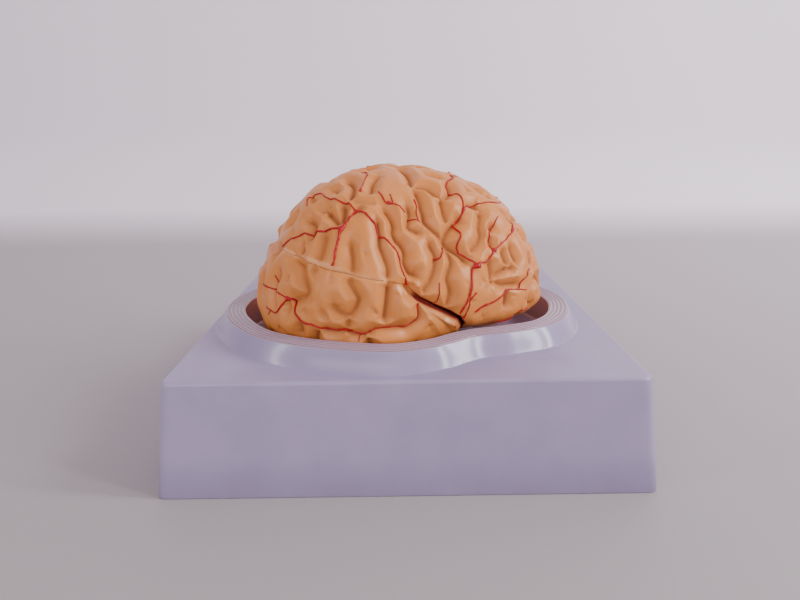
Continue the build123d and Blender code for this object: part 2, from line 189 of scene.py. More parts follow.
# Mauve of the brain's warm reflection, painted into the cavity and onto the rim
PAINTED_REFLECTION_MAUVE = (0.66, 0.33, 0.31)
# Painted shade in the valleys between the rim's ridges
PAINTED_VALLEY_SHADE = (0.26, 0.17, 0.21)
# Shares of the brain's reflection, painted in mauve, in the pocket, on the shelf, up the mouth's wall and on
# the rim
POCKET_TONE, SHELF_TONE, WALL_TONE, RIM_TONE = 0.9, 0.3, 0.85, 0.30
# Roughness of the block and of the collar, and scale, strength and height in metres of the block's grain
SATIN, POLISHED = 0.40, 0.20
MOTTLE_SCALE, GRAIN_SCALE, GRAIN_STRENGTH, GRAIN_HEIGHT = 38.0, 900.0, 0.14, 0.0002
RIM_RIDGES, RIDGE_RISE, RIDGE_MARGIN = 5, 0.4, 1.4
# Across a ridge from its valley to its crest and back: inset from the ridge's middle, and share of its rise
RIDGE_SECTION = ((0.55, 0), (0.22, 1), (-0.22, 1), (-0.55, 0))
# Moulded radii: rim of the pocket, foot of the mouth's wall, inner and outer edge of the rim
POCKET_LIP, MOUTH_FILLET, MOUTH_LIP, RIM_LIP = 1.0, 1.5, 0.7, 0.9
# Heights of the rings up the collar's flank, and the fillet at its foot as (outward, up)
FLANK_HEIGHTS = (6.5, 4.0, 1.6)
FOOT_FILLET = ((0.05, 0.35), (-0.1, 0.12), (-0.4, 0.0))
# Heights of the rings down the outside and up the inside, and the chamfer at the bottom
SIDE_HEIGHTS, BOTTOM_CHAMFER = (40.0, 20.0, 0.6, 0.0), 0.4
INSIDE_HEIGHTS = (0.0, 20.0, 40.0, BASE_HEIGHT - BASE_WALL)
# How many rings the painted reflection takes on the shelf and on the rim
SHELF_RINGS, RIM_RINGS = 4, 24
# Shares of the way for the rings over the pocket's floor, under it, across the shelf and across the top
PAN_SHARES, UNDER_SHARES = np.linspace(0.02, 0.985, 44), np.linspace(0.985, 0.02, 30)
SHELF_SHARES, TOP_SHARES = (0.25, 0.5, 0.75, 1.0), (0.03, 0.2, 0.4, 0.6, 0.8, 0.97, 1.0)
POCKET_FOOT = 0.8
# Points stand closer near this place in each corner of the square, at these degrees from it
CORNER_AT, CORNER_TURNS = 112, np.arange(-3, 3.01, 0.3)
# Turns round the top edge from the top to the side, and how much rounder its corners are than the sides'
EDGE_TURNS, EDGE_ROUNDER = np.radians((25, 50, 75, 90)), 0.5


def mesh_object(name, points, faces, material):
    """Mesh piece from points in millimetres, with its object at the origin."""
    mesh = bpy.data.meshes.new(name)
    mesh.from_pydata((np.asarray(points) * MM).tolist(), [], [tuple(face) for face in faces])
    mesh.validate()
    mesh.polygons.foreach_set("use_smooth", [True] * len(mesh.polygons))
    piece = bpy.data.objects.new(name, mesh)
    bpy.context.collection.objects.link(piece)
    mesh.materials.append(material)
    return piece


def spline(a, b, c, d, t):
    """Catmull-Rom curve from b to c at shares t of the way, with a before and d after them."""
    return 0.5 * (2 * b + (c - a) * t + (2 * a - 5 * b + 4 * c - d) * t ** 2
                  + (3 * b - a - 3 * c + d) * t ** 3)


def closed_curve(points, count=720):
    """Smooth closed curve through points, sampled evenly from point to point."""
    ring = np.array(points, float)
    steps = np.arange(count) / count * len(ring)
    i, t = steps.astype(int), (steps % 1)[:, None]
    a, b, c, d = (ring[(i + k) % len(ring)] for k in (-1, 0, 1, 2))
    return spline(a, b, c, d, t)


def inset_curve(curve, inset):
    """Curve moved inward by an inset, or outward where that is negative."""
    along = np.roll(curve, -1, 0) - np.roll(curve, 1, 0)
    inward = np.stack([-along[:, 1], along[:, 0]], 1) / np.linalg.norm(along, axis=1)[:, None]
    return curve + inward * inset


def mirrored_outline(half):
    """Closed outline from its half, given as (x, distance from the middle plane)."""
    ring = [(x, -side) for x, side in half] + [(x, side) for x, side in half[-2:0:-1]]
    return closed_curve(np.array(ring) + (0, MID_Y))


def rounded_square(half, corner):
    """Square of a half width with rounded corners, with points along its sides."""
    turns = np.radians(np.arange(0, 91, 10))
    parts = []
    for k, (sx, sy) in enumerate([(1, 1), (-1, 1), (-1, -1), (1, -1)]):
        centre = np.array((sx, sy)) * (half - corner)
        turn = turns + k * math.pi / 2
        parts.append(centre + corner * np.stack([np.cos(turn), np.sin(turn)], 1))
    corners = np.vstack(parts)
    fill = [corners[i] + (corners[(i + 1) % len(corners)] - corners[i]) * np.linspace(0, 1, 40)[:-1, None]
            for i in range(len(corners))]
    return np.vstack(fill)


def reach_at(curve, angles):
    """Distance from the ring centre to a closed curve at each angle."""
    rel = curve - RING_CENTRE
    turn = np.arctan2(rel[:, 1], rel[:, 0])
    order = np.argsort(turn)
    return np.interp(angles, turn[order], np.hypot(*rel[order].T), period=2 * math.pi)


def floor_height(x, y, drop):
    """Height of the pocket floor with its wells, lowered by the wall's thickness for the underside."""
    z = np.full_like(x, POCKET_FLOOR_Z - drop)
    for centre, half_length, half_width, floor in WELLS:
        spread = np.hypot((x - centre) / (half_length + drop), (y - MID_Y) / (half_width + drop))
        inside = np.clip((1 - spread) * half_width / WELL_WALL, 0, 1)
        z = np.minimum(z, POCKET_FLOOR_Z - drop - (POCKET_FLOOR_Z - floor) * inside ** 2 * (3 - 2 * inside))
    return z


def base_rings(angles):
    """Rings of (reach, height) from the middle of the cavity's floor over the top and back underneath."""
    collar = mirrored_outline(COLLAR_FOOT)
    pocket = mirrored_outline(POCKET)
    rim_z, mouth = BASE_HEIGHT + COLLAR_RISE, COLLAR_FLANK + RIM_BAND
    rings = []

    def ring(curve, z):
        """Ring that follows a closed curve at one height."""
        rings.append((reach_at(curve, angles), np.full(len(angles), float(z))))

    def between(first, second, shares):
        """Level rings part of the way from one closed curve to another."""
        r0, r1 = reach_at(first, angles), reach_at(second, angles)
        for share in shares:
            rings.append((r0 + (r1 - r0) * share, np.full(len(angles), rings[-1][1][0])))

    def pan(drop, shares):
        """Rings over the pocket's floor, or below it by a drop."""
        reach = reach_at(inset_curve(pocket, -drop), angles)
        for share in shares:
            x = RING_CENTRE[0] + reach * share * np.cos(angles)
            y = RING_CENTRE[1] + reach * share * np.sin(angles)
            rings.append((reach * share, floor_height(x, y, drop)))

    def rounded(curve, radius, z, start, end):
        """Round of an edge about a centre line, between two turns."""
        for turn in np.radians(np.linspace(start, end, 5)):
            ring(inset_curve(curve, -radius * math.cos(turn)), z + radius * math.sin(turn))

    pan(0, PAN_SHARES)
    ring(pocket, POCKET_FLOOR_Z + POCKET_FOOT)
    rounded(inset_curve(pocket, -POCKET_LIP), POCKET_LIP, SHELF_Z - POCKET_LIP, 180, 90)
    mouth_curve = inset_curve(collar, mouth)
    mouth_foot = inset_curve(mouth_curve, MOUTH_FILLET)
    between(inset_curve(pocket, -POCKET_LIP), mouth_foot, SHELF_SHARES)
    rounded(mouth_foot, MOUTH_FILLET, SHELF_Z + MOUTH_FILLET, -90, 0)
    rounded(inset_curve(mouth_curve, -MOUTH_LIP), MOUTH_LIP, rim_z - MOUTH_LIP, 180, 90)
    first, last = mouth - RIDGE_MARGIN, COLLAR_FLANK + RIDGE_MARGIN
    for k in range(RIM_RIDGES):
        place = first + (last - first) * k / (RIM_RIDGES - 1)
        for shift, share in RIDGE_SECTION:
            ring(inset_curve(collar, place + shift), rim_z + share * RIDGE_RISE)
    rounded(inset_curve(collar, COLLAR_FLANK + RIM_LIP), RIM_LIP, rim_z - RIM_LIP, 90, 27)
    slope = COLLAR_FLANK / COLLAR_RISE
    for height in FLANK_HEIGHTS:
        ring(inset_curve(collar, slope * height), BASE_HEIGHT + height)
    for out, rise in FOOT_FILLET:
        ring(inset_curve(collar, out), BASE_HEIGHT + rise)
    top = rounded_square(BASE_SIDE / 2 - BASE_EDGE, BASE_CORNER)
    between(inset_curve(collar, FOOT_FILLET[-1][0]), top, TOP_SHARES)
    for turn in EDGE_TURNS:
        half = BASE_SIDE / 2 - BASE_EDGE + BASE_EDGE * math.sin(turn)
        ring(rounded_square(half, BASE_CORNER + EDGE_ROUNDER),
             BASE_HEIGHT - BASE_EDGE + BASE_EDGE * math.cos(turn))
    for z in SIDE_HEIGHTS:
        half = BASE_SIDE / 2 + BASE_DRAFT * (1 - z / BASE_HEIGHT) - (BOTTOM_CHAMFER if z == 0 else 0)
        ring(rounded_square(half, BASE_CORNER), z)
    inner = BASE_SIDE / 2 - BASE_WALL
    for z in INSIDE_HEIGHTS:
        ring(rounded_square(inner + BASE_DRAFT * (1 - z / BASE_HEIGHT), BASE_CORNER - 1), z)
    between(rounded_square(inner, BASE_CORNER - 1), inset_curve(collar, BASE_WALL), (0.03, 0.5, 1.0))
    ring(inset_curve(collar, COLLAR_FLANK + BASE_WALL), rim_z - BASE_WALL)
    ring(inset_curve(collar, mouth - BASE_WALL), rim_z - BASE_WALL)
    ring(inset_curve(collar, mouth - BASE_WALL), SHELF_Z - BASE_WALL)
    ring(inset_curve(pocket, -BASE_WALL), SHELF_Z - BASE_WALL)
    pan(BASE_WALL, UNDER_SHARES)
    return rings


def ring_field(piece, name, value, rings, angles):
    """Attribute that has one value on each ring."""
    values = [value(k) for k in range(len(rings)) for _ in angles] + [value(0), value(len(rings))]
    piece.data.attributes.new(name, "FLOAT", "POINT").data.foreach_set("value", values)


def ring_angles():
    """Even angles, with more of them near the square's corners."""
    corners = [math.atan2(y - RING_CENTRE[1], x - RING_CENTRE[0])
               for x in (CORNER_AT, -CORNER_AT) for y in (CORNER_AT, -CORNER_AT)]
    extra = [corner + math.radians(step) for corner in corners for step in CORNER_TURNS]
    even = np.arange(0, 360, 1.0) * math.pi / 180
    return np.unique(np.round(np.mod(np.concatenate([even, extra]), 2 * math.pi), 5))


def ring_mesh(rings, angles):
    """Points and faces of stacked closed rings, closed by a fan at each end."""
    count = len(angles)
    points = [np.stack([RING_CENTRE[0] + r * np.cos(angles), RING_CENTRE[1] + r * np.sin(angles), z], 1)
              for r, z in rings]
    faces = []
    for k in range(len(rings) - 1):
        low, high = k * count, (k + 1) * count
        faces += [(low + i, high + i, high + (i + 1) % count, low + (i + 1) % count) for i in range(count)]
    total = len(rings) * count
    first, last = points[0].mean(0), points[-1].mean(0)
    faces += [(total, i, (i + 1) % count) for i in range(count)]
    faces += [(total + 1, total - count + (i + 1) % count, total - count + i) for i in range(count)]
    return np.vstack(points + [first, last]), faces


def attribute_node(nodes, name):
    """Reads a field of the mesh in a material."""
    node = nodes.new("ShaderNodeAttribute")
    node.attribute_name = name
    return node.outputs["Fac"]


def noise_node(nodes, links, scale, detail, coordinates):
    """Noise with a scale in waves per metre."""
    noise = nodes.new("ShaderNodeTexNoise")
    noise.inputs["Scale"].default_value = scale
    noise.inputs["Detail"].default_value = detail
    links.new(coordinates, noise.inputs["Vector"])
    return noise.outputs["Fac"]


def add_grain(nodes, links, shader, noise, strength, distance):
    """Bump of a fine noise, with its height in metres."""
    bump = nodes.new("ShaderNodeBump")
    if isinstance(strength, float):
        bump.inputs["Strength"].default_value = strength
    else:
        links.new(strength, bump.inputs["Strength"])
    bump.inputs["Distance"].default_value = distance
    links.new(noise, bump.inputs["Height"])
    links.new(bump.outputs["Normal"], shader.inputs["Normal"])


def base_material():
    """Lavender-grey plastic, finely grained, polished on the collar and in the cavity; the brain's reflection
    and the ridges' shade are painted.
    """
    material, nodes, links, shader = new_material("base_plastic")
    place = nodes.new("ShaderNodeTexCoord").outputs["Object"]
    mottle = noise_node(nodes, links, MOTTLE_SCALE, 4.0, place)
    lavender = mix_colours(nodes, links, map_range(nodes, links, mottle, 0.35, 0.65), *BASE_LAVENDER)
    # Painted reflection: the brain's warm colour laid in mauve over the cavity and the rim
    painted_reflection = mix_colours(nodes, links, attribute_node(nodes, "cavity"), lavender, PAINTED_REFLECTION_MAUVE)
    # Painted shade in the valleys between the rim's ridges
    colour = mix_colours(nodes, links, attribute_node(nodes, "ridge_valley_shade"), painted_reflection, PAINTED_VALLEY_SHADE)
    links.new(colour, shader.inputs["Base Color"])
    polish = attribute_node(nodes, "polish")
    links.new(map_range(nodes, links, polish, 0.0, 1.0, SATIN, POLISHED), shader.inputs["Roughness"])
    grain = noise_node(nodes, links, GRAIN_SCALE, 3.0, place)
    strength = map_range(nodes, links, polish, 0.0, 1.0, GRAIN_STRENGTH, 0.0)
    add_grain(nodes, links, shader, grain, strength, GRAIN_HEIGHT)
    return material


angles = ring_angles()
rings = base_rings(angles)
base = mesh_object("base_moulding", *ring_mesh(rings, angles), base_material())
heights = [ring[1][0] for ring in rings]
rim_height = BASE_HEIGHT + COLLAR_RISE
shelf = next(k for k, z in enumerate(heights) if z >= SHELF_Z)
mouth = next(k for k, z in enumerate(heights) if z > rim_height - 0.1)
foot = next(k for k, z in enumerate(heights) if k > mouth and z == BASE_HEIGHT)
rim_end = mouth + RIM_RINGS
ring_field(base, "polish", lambda k: float(k <= foot), rings, angles)
# Painted reflection of the brain, strongest in the pocket and up the mouth's wall, fainter on the shelf and
# the rim
painted_reflection_shares = [(shelf, POCKET_TONE), (shelf + SHELF_RINGS, SHELF_TONE), (mouth, WALL_TONE), (rim_end, RIM_TONE),
         (len(rings) + 1, 0.0)]
ring_field(base, "cavity", lambda k: next(tone for end, tone in painted_reflection_shares if k <= end), rings, angles)
# Rings in the valleys between the rim's ridges take painted shade
shaded_valleys = [k for k in range(mouth, rim_end) if heights[k] < rim_height + RIDGE_RISE / 2]
ring_field(base, "ridge_valley_shade", lambda k: float(k in shaded_valleys), rings, angles)
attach(base, "stand")
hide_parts("base_shell")


# Shape of the cerebrum: an egg-like envelope, the sulci traced on it, and the rounded profile of the folds
# between them. All brain pieces use it. Directions are (forward, sideways, up) from the brain's centre.
BRAIN_CENTRE = np.array((-7.8, MID_Y, 73.1))
LENGTH_FRONT, LENGTH_BACK = 86.8, 76.8
HEIGHT_UP, DEPTH_BACK, DEPTH_FRONT = 71.6, 41.0, 19.0
HALF_WIDTH_BACK, HALF_WIDTH_FRONT = 70.5, 60.0
ROUNDNESS = 2.08
# Shares of the way forward over which the width and the depth change from back to front
WIDTH_CHANGE, DEPTH_CHANGE = (-0.25, 0.5), (0.05, 0.75)
# Hollows of the envelope, as (direction, share of the radius, spread in radians)
HOLLOWS = [((0.62, 0.72, -0.32), 0.10, 0.20), ((-0.80, 0.3, 0.5), 0.057, 0.30),
           ((0.8, 0.35, -0.5), 0.043, 0.25)]

# Seam between the upper and the lower castings: its flat stretch at the back, and the fissure
SEAM_FLAT = [(-52, 29), (-31, 24.3), (-15, 19.8), (-3, 17.6)]
SEAM_FISSURE = [(-3, 17.6), (5, 16), (12, 10), (21, 4.8), (27, 1.4), (31, -0.8), (34.5, -5), (37, -10)]
# It runs on straight to this x behind the brain, and by so much forward and down below it
SEAM_BACK, SEAM_AHEAD, SEAM_DOWN = -130.0, 2.0, 40.0
# Courses are in degrees forward and up on a map of the brain's side. The map's zero lies this far from the
# envelope's side pole, and its degrees are a little longer.
MAP_ZERO, MAP_SCALE = np.array((1.2, 0.5)), np.array((1.03, 1.035))
# Sulci: the deep ones, the common ones and the faint dents
DEEP_SULCI = [
    [(4, 16.3), (6.8, 15), (8.5, 12.5), (12, 10), (16.5, 7.2), (21, 4.8), (27, 1.4), (30, -0.5)],
    [(-5, 49.5), (-2, 47), (0, 44), (1, 40.5), (0.7, 38), (2.3, 34.5), (4.2, 33), (5.8, 30), (5.7, 26),
     (6.2, 24), (8, 21), (10, 20.3), (12, 18)],
    [(34, 45), (29, 41.5), (26.5, 39), (24.5, 35.5), (25, 33), (28, 30), (31.5, 27), (35, 22.5)],
    [(-45, 28), (-43, 25.5), (-39, 22.5), (-37.5, 18), (-36, 14), (-35.5, 12), (-37, 10), (-41, 8.2),
     (-44.5, 7.2)],
    [(-1, 18), (-1.6, 12.3), (-2, 8.5), (-2.5, 5), (-3, 0)],
]
COMMON_SULCI = [
    [(-25, 69), (-20, 64), (-18.5, 58), (-19, 53), (-19.5, 51.5)],
    [(-33, 62), (-28, 59.5), (-29.5, 58.5)],
    [(-7, 70), (-9.5, 64), (-9.7, 59), (-10.5, 57), (-12.5, 56)],
    [(-12.5, 50.5), (-14.5, 47.5), (-15.8, 45)],
    [(-34, 48.5), (-30, 47.5), (-27, 45), (-23, 41), (-21, 39)],
    [(-30, 51), (-29.5, 47)],
    [(-21.5, 52), (-21, 44.5), (-22, 39.5)],
    [(-7, 44), (-6, 41.5), (-5.5, 38), (-5, 35.5), (-4.7, 31.5), (-3.7, 29), (-2.3, 25.5), (-1.4, 22),
     (-2, 17)],
    [(-42, 45), (-36.5, 42), (-35.5, 38), (-36.5, 32)],
    [(-29, 38), (-28.5, 34), (-29, 30), (-30, 23.5)],
    [(-41, 34), (-40, 31), (-40, 26)],
    [(-52, 53), (-54, 46), (-57, 42)],
    [(-17, 34), (-16.3, 30), (-15.5, 26), (-15.5, 19.5)],
    [(4.5, 84), (8.5, 77), (10, 70), (10, 64), (10.3, 60)],
    [(10, 61), (14.5, 62), (18.5, 61), (22, 58), (24, 55), (24.5, 52), (25, 48), (26, 44.5), (27, 41)],
    [(10, 61), (12.5, 58), (13.5, 54), (14, 50), (15, 47), (15.5, 44), (17, 42), (19.5, 39.5), (22, 37),
     (23.5, 34.5), (25, 32), (26.5, 27), (26.8, 24), (25.3, 20), (25, 17), (26, 13.5), (26.3, 10.5),
     (25.5, 7), (24.5, 3)],
    [(6.5, 52.5), (8.3, 48), (8, 44), (7.8, 40.5), (12.5, 38.5), (15, 38)],
    [(16, 35), (18.3, 31.5), (19.8, 28), (19.3, 24), (18.3, 20.5), (16.5, 16.5), (14.5, 13.5), (13.5, 10)],
    [(43.5, 49), (43.3, 44), (41.5, 39), (41.5, 35), (39.5, 31.5), (37, 29.5), (35, 27)],
    [(46, 35), (46, 31), (46.5, 27)],
    [(57, 30), (56, 27), (56.5, 24), (57.5, 21), (58, 18)],
    [(46, 66), (51, 58), (56, 54)],
    [(20, 75), (25, 71), (30.5, 69)],
    [(31, 67), (30, 58), (24, 54)],
    [(45, 14.5), (47, 16.5), (49.5, 17.5), (53, 18.5), (57.5, 17)],
    [(43.5, 25), (44.5, 20), (45, 14.5), (43.5, 12)],
    [(51, 29), (51.5, 24), (53, 18.5)],
    [(50, 40), (47.5, 38), (46, 35)],
    [(45, 14.5), (49, 12), (53, 11), (59, 10.5)],
    [(51.5, 9.5), (52.5, 5), (52, -1)],
    [(36, 50), (39, 50.5), (42, 49.5), (43.5, 46)],
    [(-32, 24), (-31.7, 19)],
    [(-16.5, 20), (-16, 16.5), (-14.5, 13.7), (-13, 11), (-13.5, 8.5), (-15, 6), (-17, 4), (-20.5, 5),
     (-22.5, 7), (-23, 9.5)],
    [(-17, 4), (-17, 1.5), (-18, -3)],
    [(-29, -2), (-23.5, -3), (-18.3, -2.3), (-14.5, -3.8), (-11, -4), (-8, -2.3), (-5.5, -1.5), (3, -1.8),
     (6, -2.5), (9, -1), (11.6, 0.8), (12.2, 3), (11.8, 6.5), (11, 10)],
    [(-39.5, 0), (-38.5, -3.5), (-39.5, -9)],
    [(-45.5, 8), (-45, 1)],
    [(-10, -4), (-9, -8), (-9.5, -13)],
    [(-29, -2.5), (-31, -6), (-32, -11)],
    [(-52, 21), (-56, 12), (-54, 1)],
    [(-66, 18), (-71, 4), (-66, -9)],
]
FAINT_SULCI = [
    [(28, 0.8), (31, -0.8), (34.5, -5), (37, -10)],
    [(-19.5, 51.5), (-14, 50.5), (-10.5, 50), (-5, 49.5)],
    [(-11, 30), (-10.5, 26.5)],
    [(-8.5, 7.5), (-6, 5), (-4.5, 2.5)],
    [(-28.5, 7), (-27, 3.5), (-25.5, 0.5)],
    [(-38, 3), (-35.5, 4), (-33, 3.5)],
    [(-41, 7.5), (-35, 9), (-30.5, 9.3)],
    [(-31.5, -6), (-31, -4), (-29.5, -2)],
    [(41, 0), (42.5, -3)],
    [(55, 7.5), (55.5, 3.5)],
    [(41.5, 16), (40, 13.5)],
    [(14, 6), (18, 2.5), (24, -2.5), (29, -7.5)],
    [(16, -1), (17.5, -5)],
]
# Half width of the rolled edge beside a sulcus and its depth, for each kind
SULCUS_FORMS = [(DEEP_SULCI, 7.4, 6.2), (COMMON_SULCI, 6.4, 4.8), (FAINT_SULCI, 5.4, 2.4)]
# Profile of a fold: how steep its edge is, the width of the sulcus's bottom and how far its crown is domed
ROLL_POWER, ROLL_FLOOR, DOME_SHARE = 0.46, 0.25, 0.38
# A sulcus runs out over its last few mm to this share of its depth
TAPER_RUN, TAPER_END = 4.0, 0.35
# Distances from the bottom of a sulcus over which its painted shade fades, and the depth that is shaded in
# full
TONE_BAND, FULL_TONE_DEPTH = (0.3, 3.2), 4.0
# Where no drawn sulcus is near, one wanders between waves of this length, with its own width, depth and band
# of painted shade
WAVE_LENGTH, WANDER_REACH = 21.0, (8.0, 12.0)
WANDER_WIDTH, WANDER_DEPTH, WANDER_BAND, LEAST_SLOPE = 8.0, 4.2, (0.3, 3.0), 0.25
# The clear cement that shows glossy along the seam and on the fold below its bend, with a pale highlight
# painted on it
GLUE_AND_GLINT_COURSES = [SEAM_FLAT, [(1.5, 15.2), (4, 14.2), (6.5, 13)], [(25.5, -1.2), (28.5, -3)]]
CROWN_RISE = 1.0
# Step in radians for the envelope's normals
NORMAL_STEP = 0.01
# Long and short swells of the crowns, as (length, height)
SWELLS = ((34.0, 0.12), (15.0, 0.07))


def smooth_step(value, low, high):
    """Smooth ramp from 0 at low to 1 at high."""
    t = np.clip((value - low) / (high - low), 0, 1)
    return t * t * (3 - 2 * t)


def brain_radius(d):
    """Distance from the centre to the envelope along unit directions."""
    forward, side, up = d[..., 0], np.abs(d[..., 1]), d[..., 2]
    length = np.where(forward > 0, LENGTH_FRONT, LENGTH_BACK)
    width = HALF_WIDTH_BACK + (HALF_WIDTH_FRONT - HALF_WIDTH_BACK) * smooth_step(forward, *WIDTH_CHANGE)
    depth = DEPTH_BACK + (DEPTH_FRONT - DEPTH_BACK) * smooth_step(forward, *DEPTH_CHANGE)
    height = np.where(up > 0, HEIGHT_UP, depth)
    shares = [np.abs(forward) / length, side / width, np.abs(up) / height]
    radius = sum(share ** ROUNDNESS for share in shares) ** (-1 / ROUNDNESS)
    for axis, share, spread in HOLLOWS:
        axis = np.array(axis) / np.linalg.norm(axis)
        angle = np.arccos(np.clip(forward * axis[0] + side * axis[1] + up * axis[2], -1, 1))
        radius = radius * (1 - share * np.exp(-(angle / spread) ** 2 / 2))
    return radius


def direction(places):
    """Unit directions of places given in degrees forward and up from the side pole."""
    p, q = np.asarray(places, float).T
    reach, turn = np.radians(np.hypot(p, q)), np.arctan2(q, p)
    return np.stack([np.sin(reach) * np.cos(turn), np.cos(reach), np.sin(reach) * np.sin(turn)], 1)


def course_direction(places):
    """Unit directions of places given in the map's own degrees."""
    return direction(MAP_ZERO + MAP_SCALE * np.asarray(places, float))


def envelope(d):
    """Points of the envelope, sideways positive, from the brain's centre."""
    return d * brain_radius(d)[:, None]


def envelope_normals(d):
    """Unit normals of the envelope, outward, along unit directions."""
    helper = np.where(np.abs(d[:, 2:3]) < 0.9, [[0.0, 0.0, 1.0]], [[1.0, 0.0, 0.0]])
    east = np.cross(helper, d)
    east /= np.linalg.norm(east, axis=1)[:, None]
    north = np.cross(d, east)

    def at(shift):
        """Points of the envelope a small step aside."""
        moved = d + shift * NORMAL_STEP
        return envelope(moved / np.linalg.norm(moved, axis=1)[:, None])

    normal = np.cross(at(east) - at(-east), at(north) - at(-north))
    return normal / np.linalg.norm(normal, axis=1)[:, None]


def smooth_course(course, step=0.25):
    """Curve through a course's points, in the same degrees, with even small steps."""
    points = np.array(course, float)
    padded = np.vstack([2 * points[0] - points[1], points, 2 * points[-1] - points[-2]])
    parts = []
    for a, b, c, d in zip(padded, padded[1:], padded[2:], padded[3:]):
        count = max(2, int(np.linalg.norm(c - b) / step))
        t = (np.arange(count) / count)[:, None]
        parts.append(spline(a, b, c, d, t))
    return np.vstack(parts + [points[-1:]])


def sulcus_tree(courses):
    """Search tree of points along sulci on the envelope, with the taper of each point towards the ends."""
    points, tapers = [], []
    for course in courses:
        line = envelope(course_direction(smooth_course(course)))
        run = np.concatenate([[0], np.cumsum(np.linalg.norm(np.diff(line, axis=0), axis=1))])
        from_end = np.minimum(run, run[-1] - run)
        points.append(line)
        tapers.append(TAPER_END + (1 - TAPER_END) * smooth_step(from_end, 0, TAPER_RUN))
    points, tapers = np.vstack(points), np.concatenate(tapers)
    tree = KDTree(len(points))
    for i, point in enumerate(points):
        tree.insert(point, i)
    tree.balance()
    return tree, tapers


def distances(tree, points):
    """Distance from each point to the tree's nearest one, and that one's number."""
    found = [tree.find(point) for point in points.tolist()]
    return np.array([hit[2] for hit in found]), np.array([hit[1] for hit in found])


def waves(points, seed, length, count=16):
    """Sum of waves of one length in many directions, and its gradient."""
    rng = np.random.default_rng(seed)
    axes = rng.normal(size=(count, 3))
    axes *= 2 * math.pi / length / np.linalg.norm(axes, axis=1)[:, None]
    phase = points @ axes.T + rng.uniform(0, 2 * math.pi, count)
    return np.cos(phase).sum(1), -np.sin(phase) @ axes


def rolled(distance, half_width):
    """Depth share of a rounded fold's edge: 1 in the sulcus, 0 on the crown."""
    t = np.clip((np.sqrt(distance ** 2 + ROLL_FLOOR ** 2) - ROLL_FLOOR) / half_width, 0, 1)
    crease = 1 - np.maximum(1 - (1 - t) ** 2, 0) ** ROLL_POWER
    return crease + (1 - smooth_step(t, 0, 1) - crease) * DOME_SHARE


SULCUS_TREES = [(*sulcus_tree(courses), width, depth) for courses, width, depth in SULCUS_FORMS]
GLUE_AND_GLINT_TREE = sulcus_tree(GLUE_AND_GLINT_COURSES)[0]


def fold_height(points, seed):
    """Height of the folds over the envelope, and the share of painted shade each point takes near a sulcus.
    """
    share = np.zeros(len(points))
    sink = np.zeros(len(points))
    nearest = np.full(len(points), math.inf)
    for tree, tapers, width, depth in SULCUS_TREES:
        distance, index = distances(tree, points)
        taper = tapers[index]
        here = rolled(distance, width) * taper
        sink = np.maximum(sink, here * depth)
        # Painted shade near the bottom of each sulcus
        tone = (1 - smooth_step(distance, *TONE_BAND)) * taper * min(depth / FULL_TONE_DEPTH, 1.0)
        share = np.maximum(share, tone)
        nearest = np.minimum(nearest, distance)
    value, slope = waves(points, seed, WAVE_LENGTH)
    free = smooth_step(nearest, *WANDER_REACH)
    wandering = np.abs(value) / np.maximum(np.linalg.norm(slope, axis=1), LEAST_SLOPE)
    sink = np.maximum(sink, rolled(wandering, WANDER_WIDTH) * free * WANDER_DEPTH)
    share = np.maximum(share, (1 - smooth_step(wandering, *WANDER_BAND)) * free)
    swell = sum(waves(points, seed + k, length)[0] * rise for k, (length, rise) in enumerate(SWELLS, 1))
    return CROWN_RISE + swell - sink, share


def ring_directions(rings):
    """Directions over one side in rings from its pole to the middle plane, and the triangles between."""
    places = [(0.0, 0.0)]
    for k in range(1, rings + 1):
        turn = np.arange(6 * k) * math.pi / (3 * k)
        places += list(zip(90.0 * k / rings * np.cos(turn), 90.0 * k / rings * np.sin(turn)))
    start = [0] + [1 + 3 * k * (k - 1) for k in range(1, rings + 2)]
    faces = []
    for k in range(1, rings + 1):
        inner, outer = 6 * (k - 1), 6 * k
        for sector in range(6):
            for i in range(k):
                a = start[k] + (sector * k + i) % outer
                b = start[k] + (sector * k + i + 1) % outer
                c = start[k - 1] + ((sector * (k - 1) + i) % inner if inner else 0)
                faces.append((a, b, c))
                if i < k - 1:
                    d = start[k - 1] + (sector * (k - 1) + i + 1) % inner
                    faces.append((c, b, d))
    return direction(places), np.array(faces)


def clip(points, faces, level, fields):
    """Part of a mesh where level is positive, with the vertices on the cut and the fields carried along."""
    inside = level > 0
    count = inside[faces].sum(1)
    kept = faces[count == 3].tolist()
    new_points, new_fields, made = [], [[] for _ in fields], {}

    def crossing(a, b):
        """Vertex where the cut crosses an edge, made once."""
        key = (min(a, b), max(a, b))
        if key not in made:
            t = level[a] / (level[a] - level[b])
            made[key] = len(points) + len(new_points)
            new_points.append(points[a] + (points[b] - points[a]) * t)
            for field, values in zip(fields, new_fields):
                values.append(field[a] + (field[b] - field[a]) * t)
        return made[key]

    for face, number in zip(faces[(count == 1) | (count == 2)].tolist(), count[(count == 1) | (count == 2)]):
        while not (inside[face[0]] if number == 1 else not inside[face[2]]):
            face = face[1:] + face[:1]
        a, b, c = face
        if number == 1:
            kept.append([a, crossing(a, b), crossing(a, c)])
        else:
            kept += [[a, b, crossing(b, c)], [a, crossing(b, c), crossing(a, c)]]
    points = np.vstack([points] + ([new_points] if new_points else []))
    fields = [np.concatenate([field, values]) for field, values in zip(fields, new_fields)]
    is_cut = np.zeros(len(points), bool)
    is_cut[list(made.values())] = True
    used, kept = np.unique(np.array(kept), return_inverse=True)
    return points[used], kept.reshape(-1, 3), is_cut[used], [field[used] for field in fields]


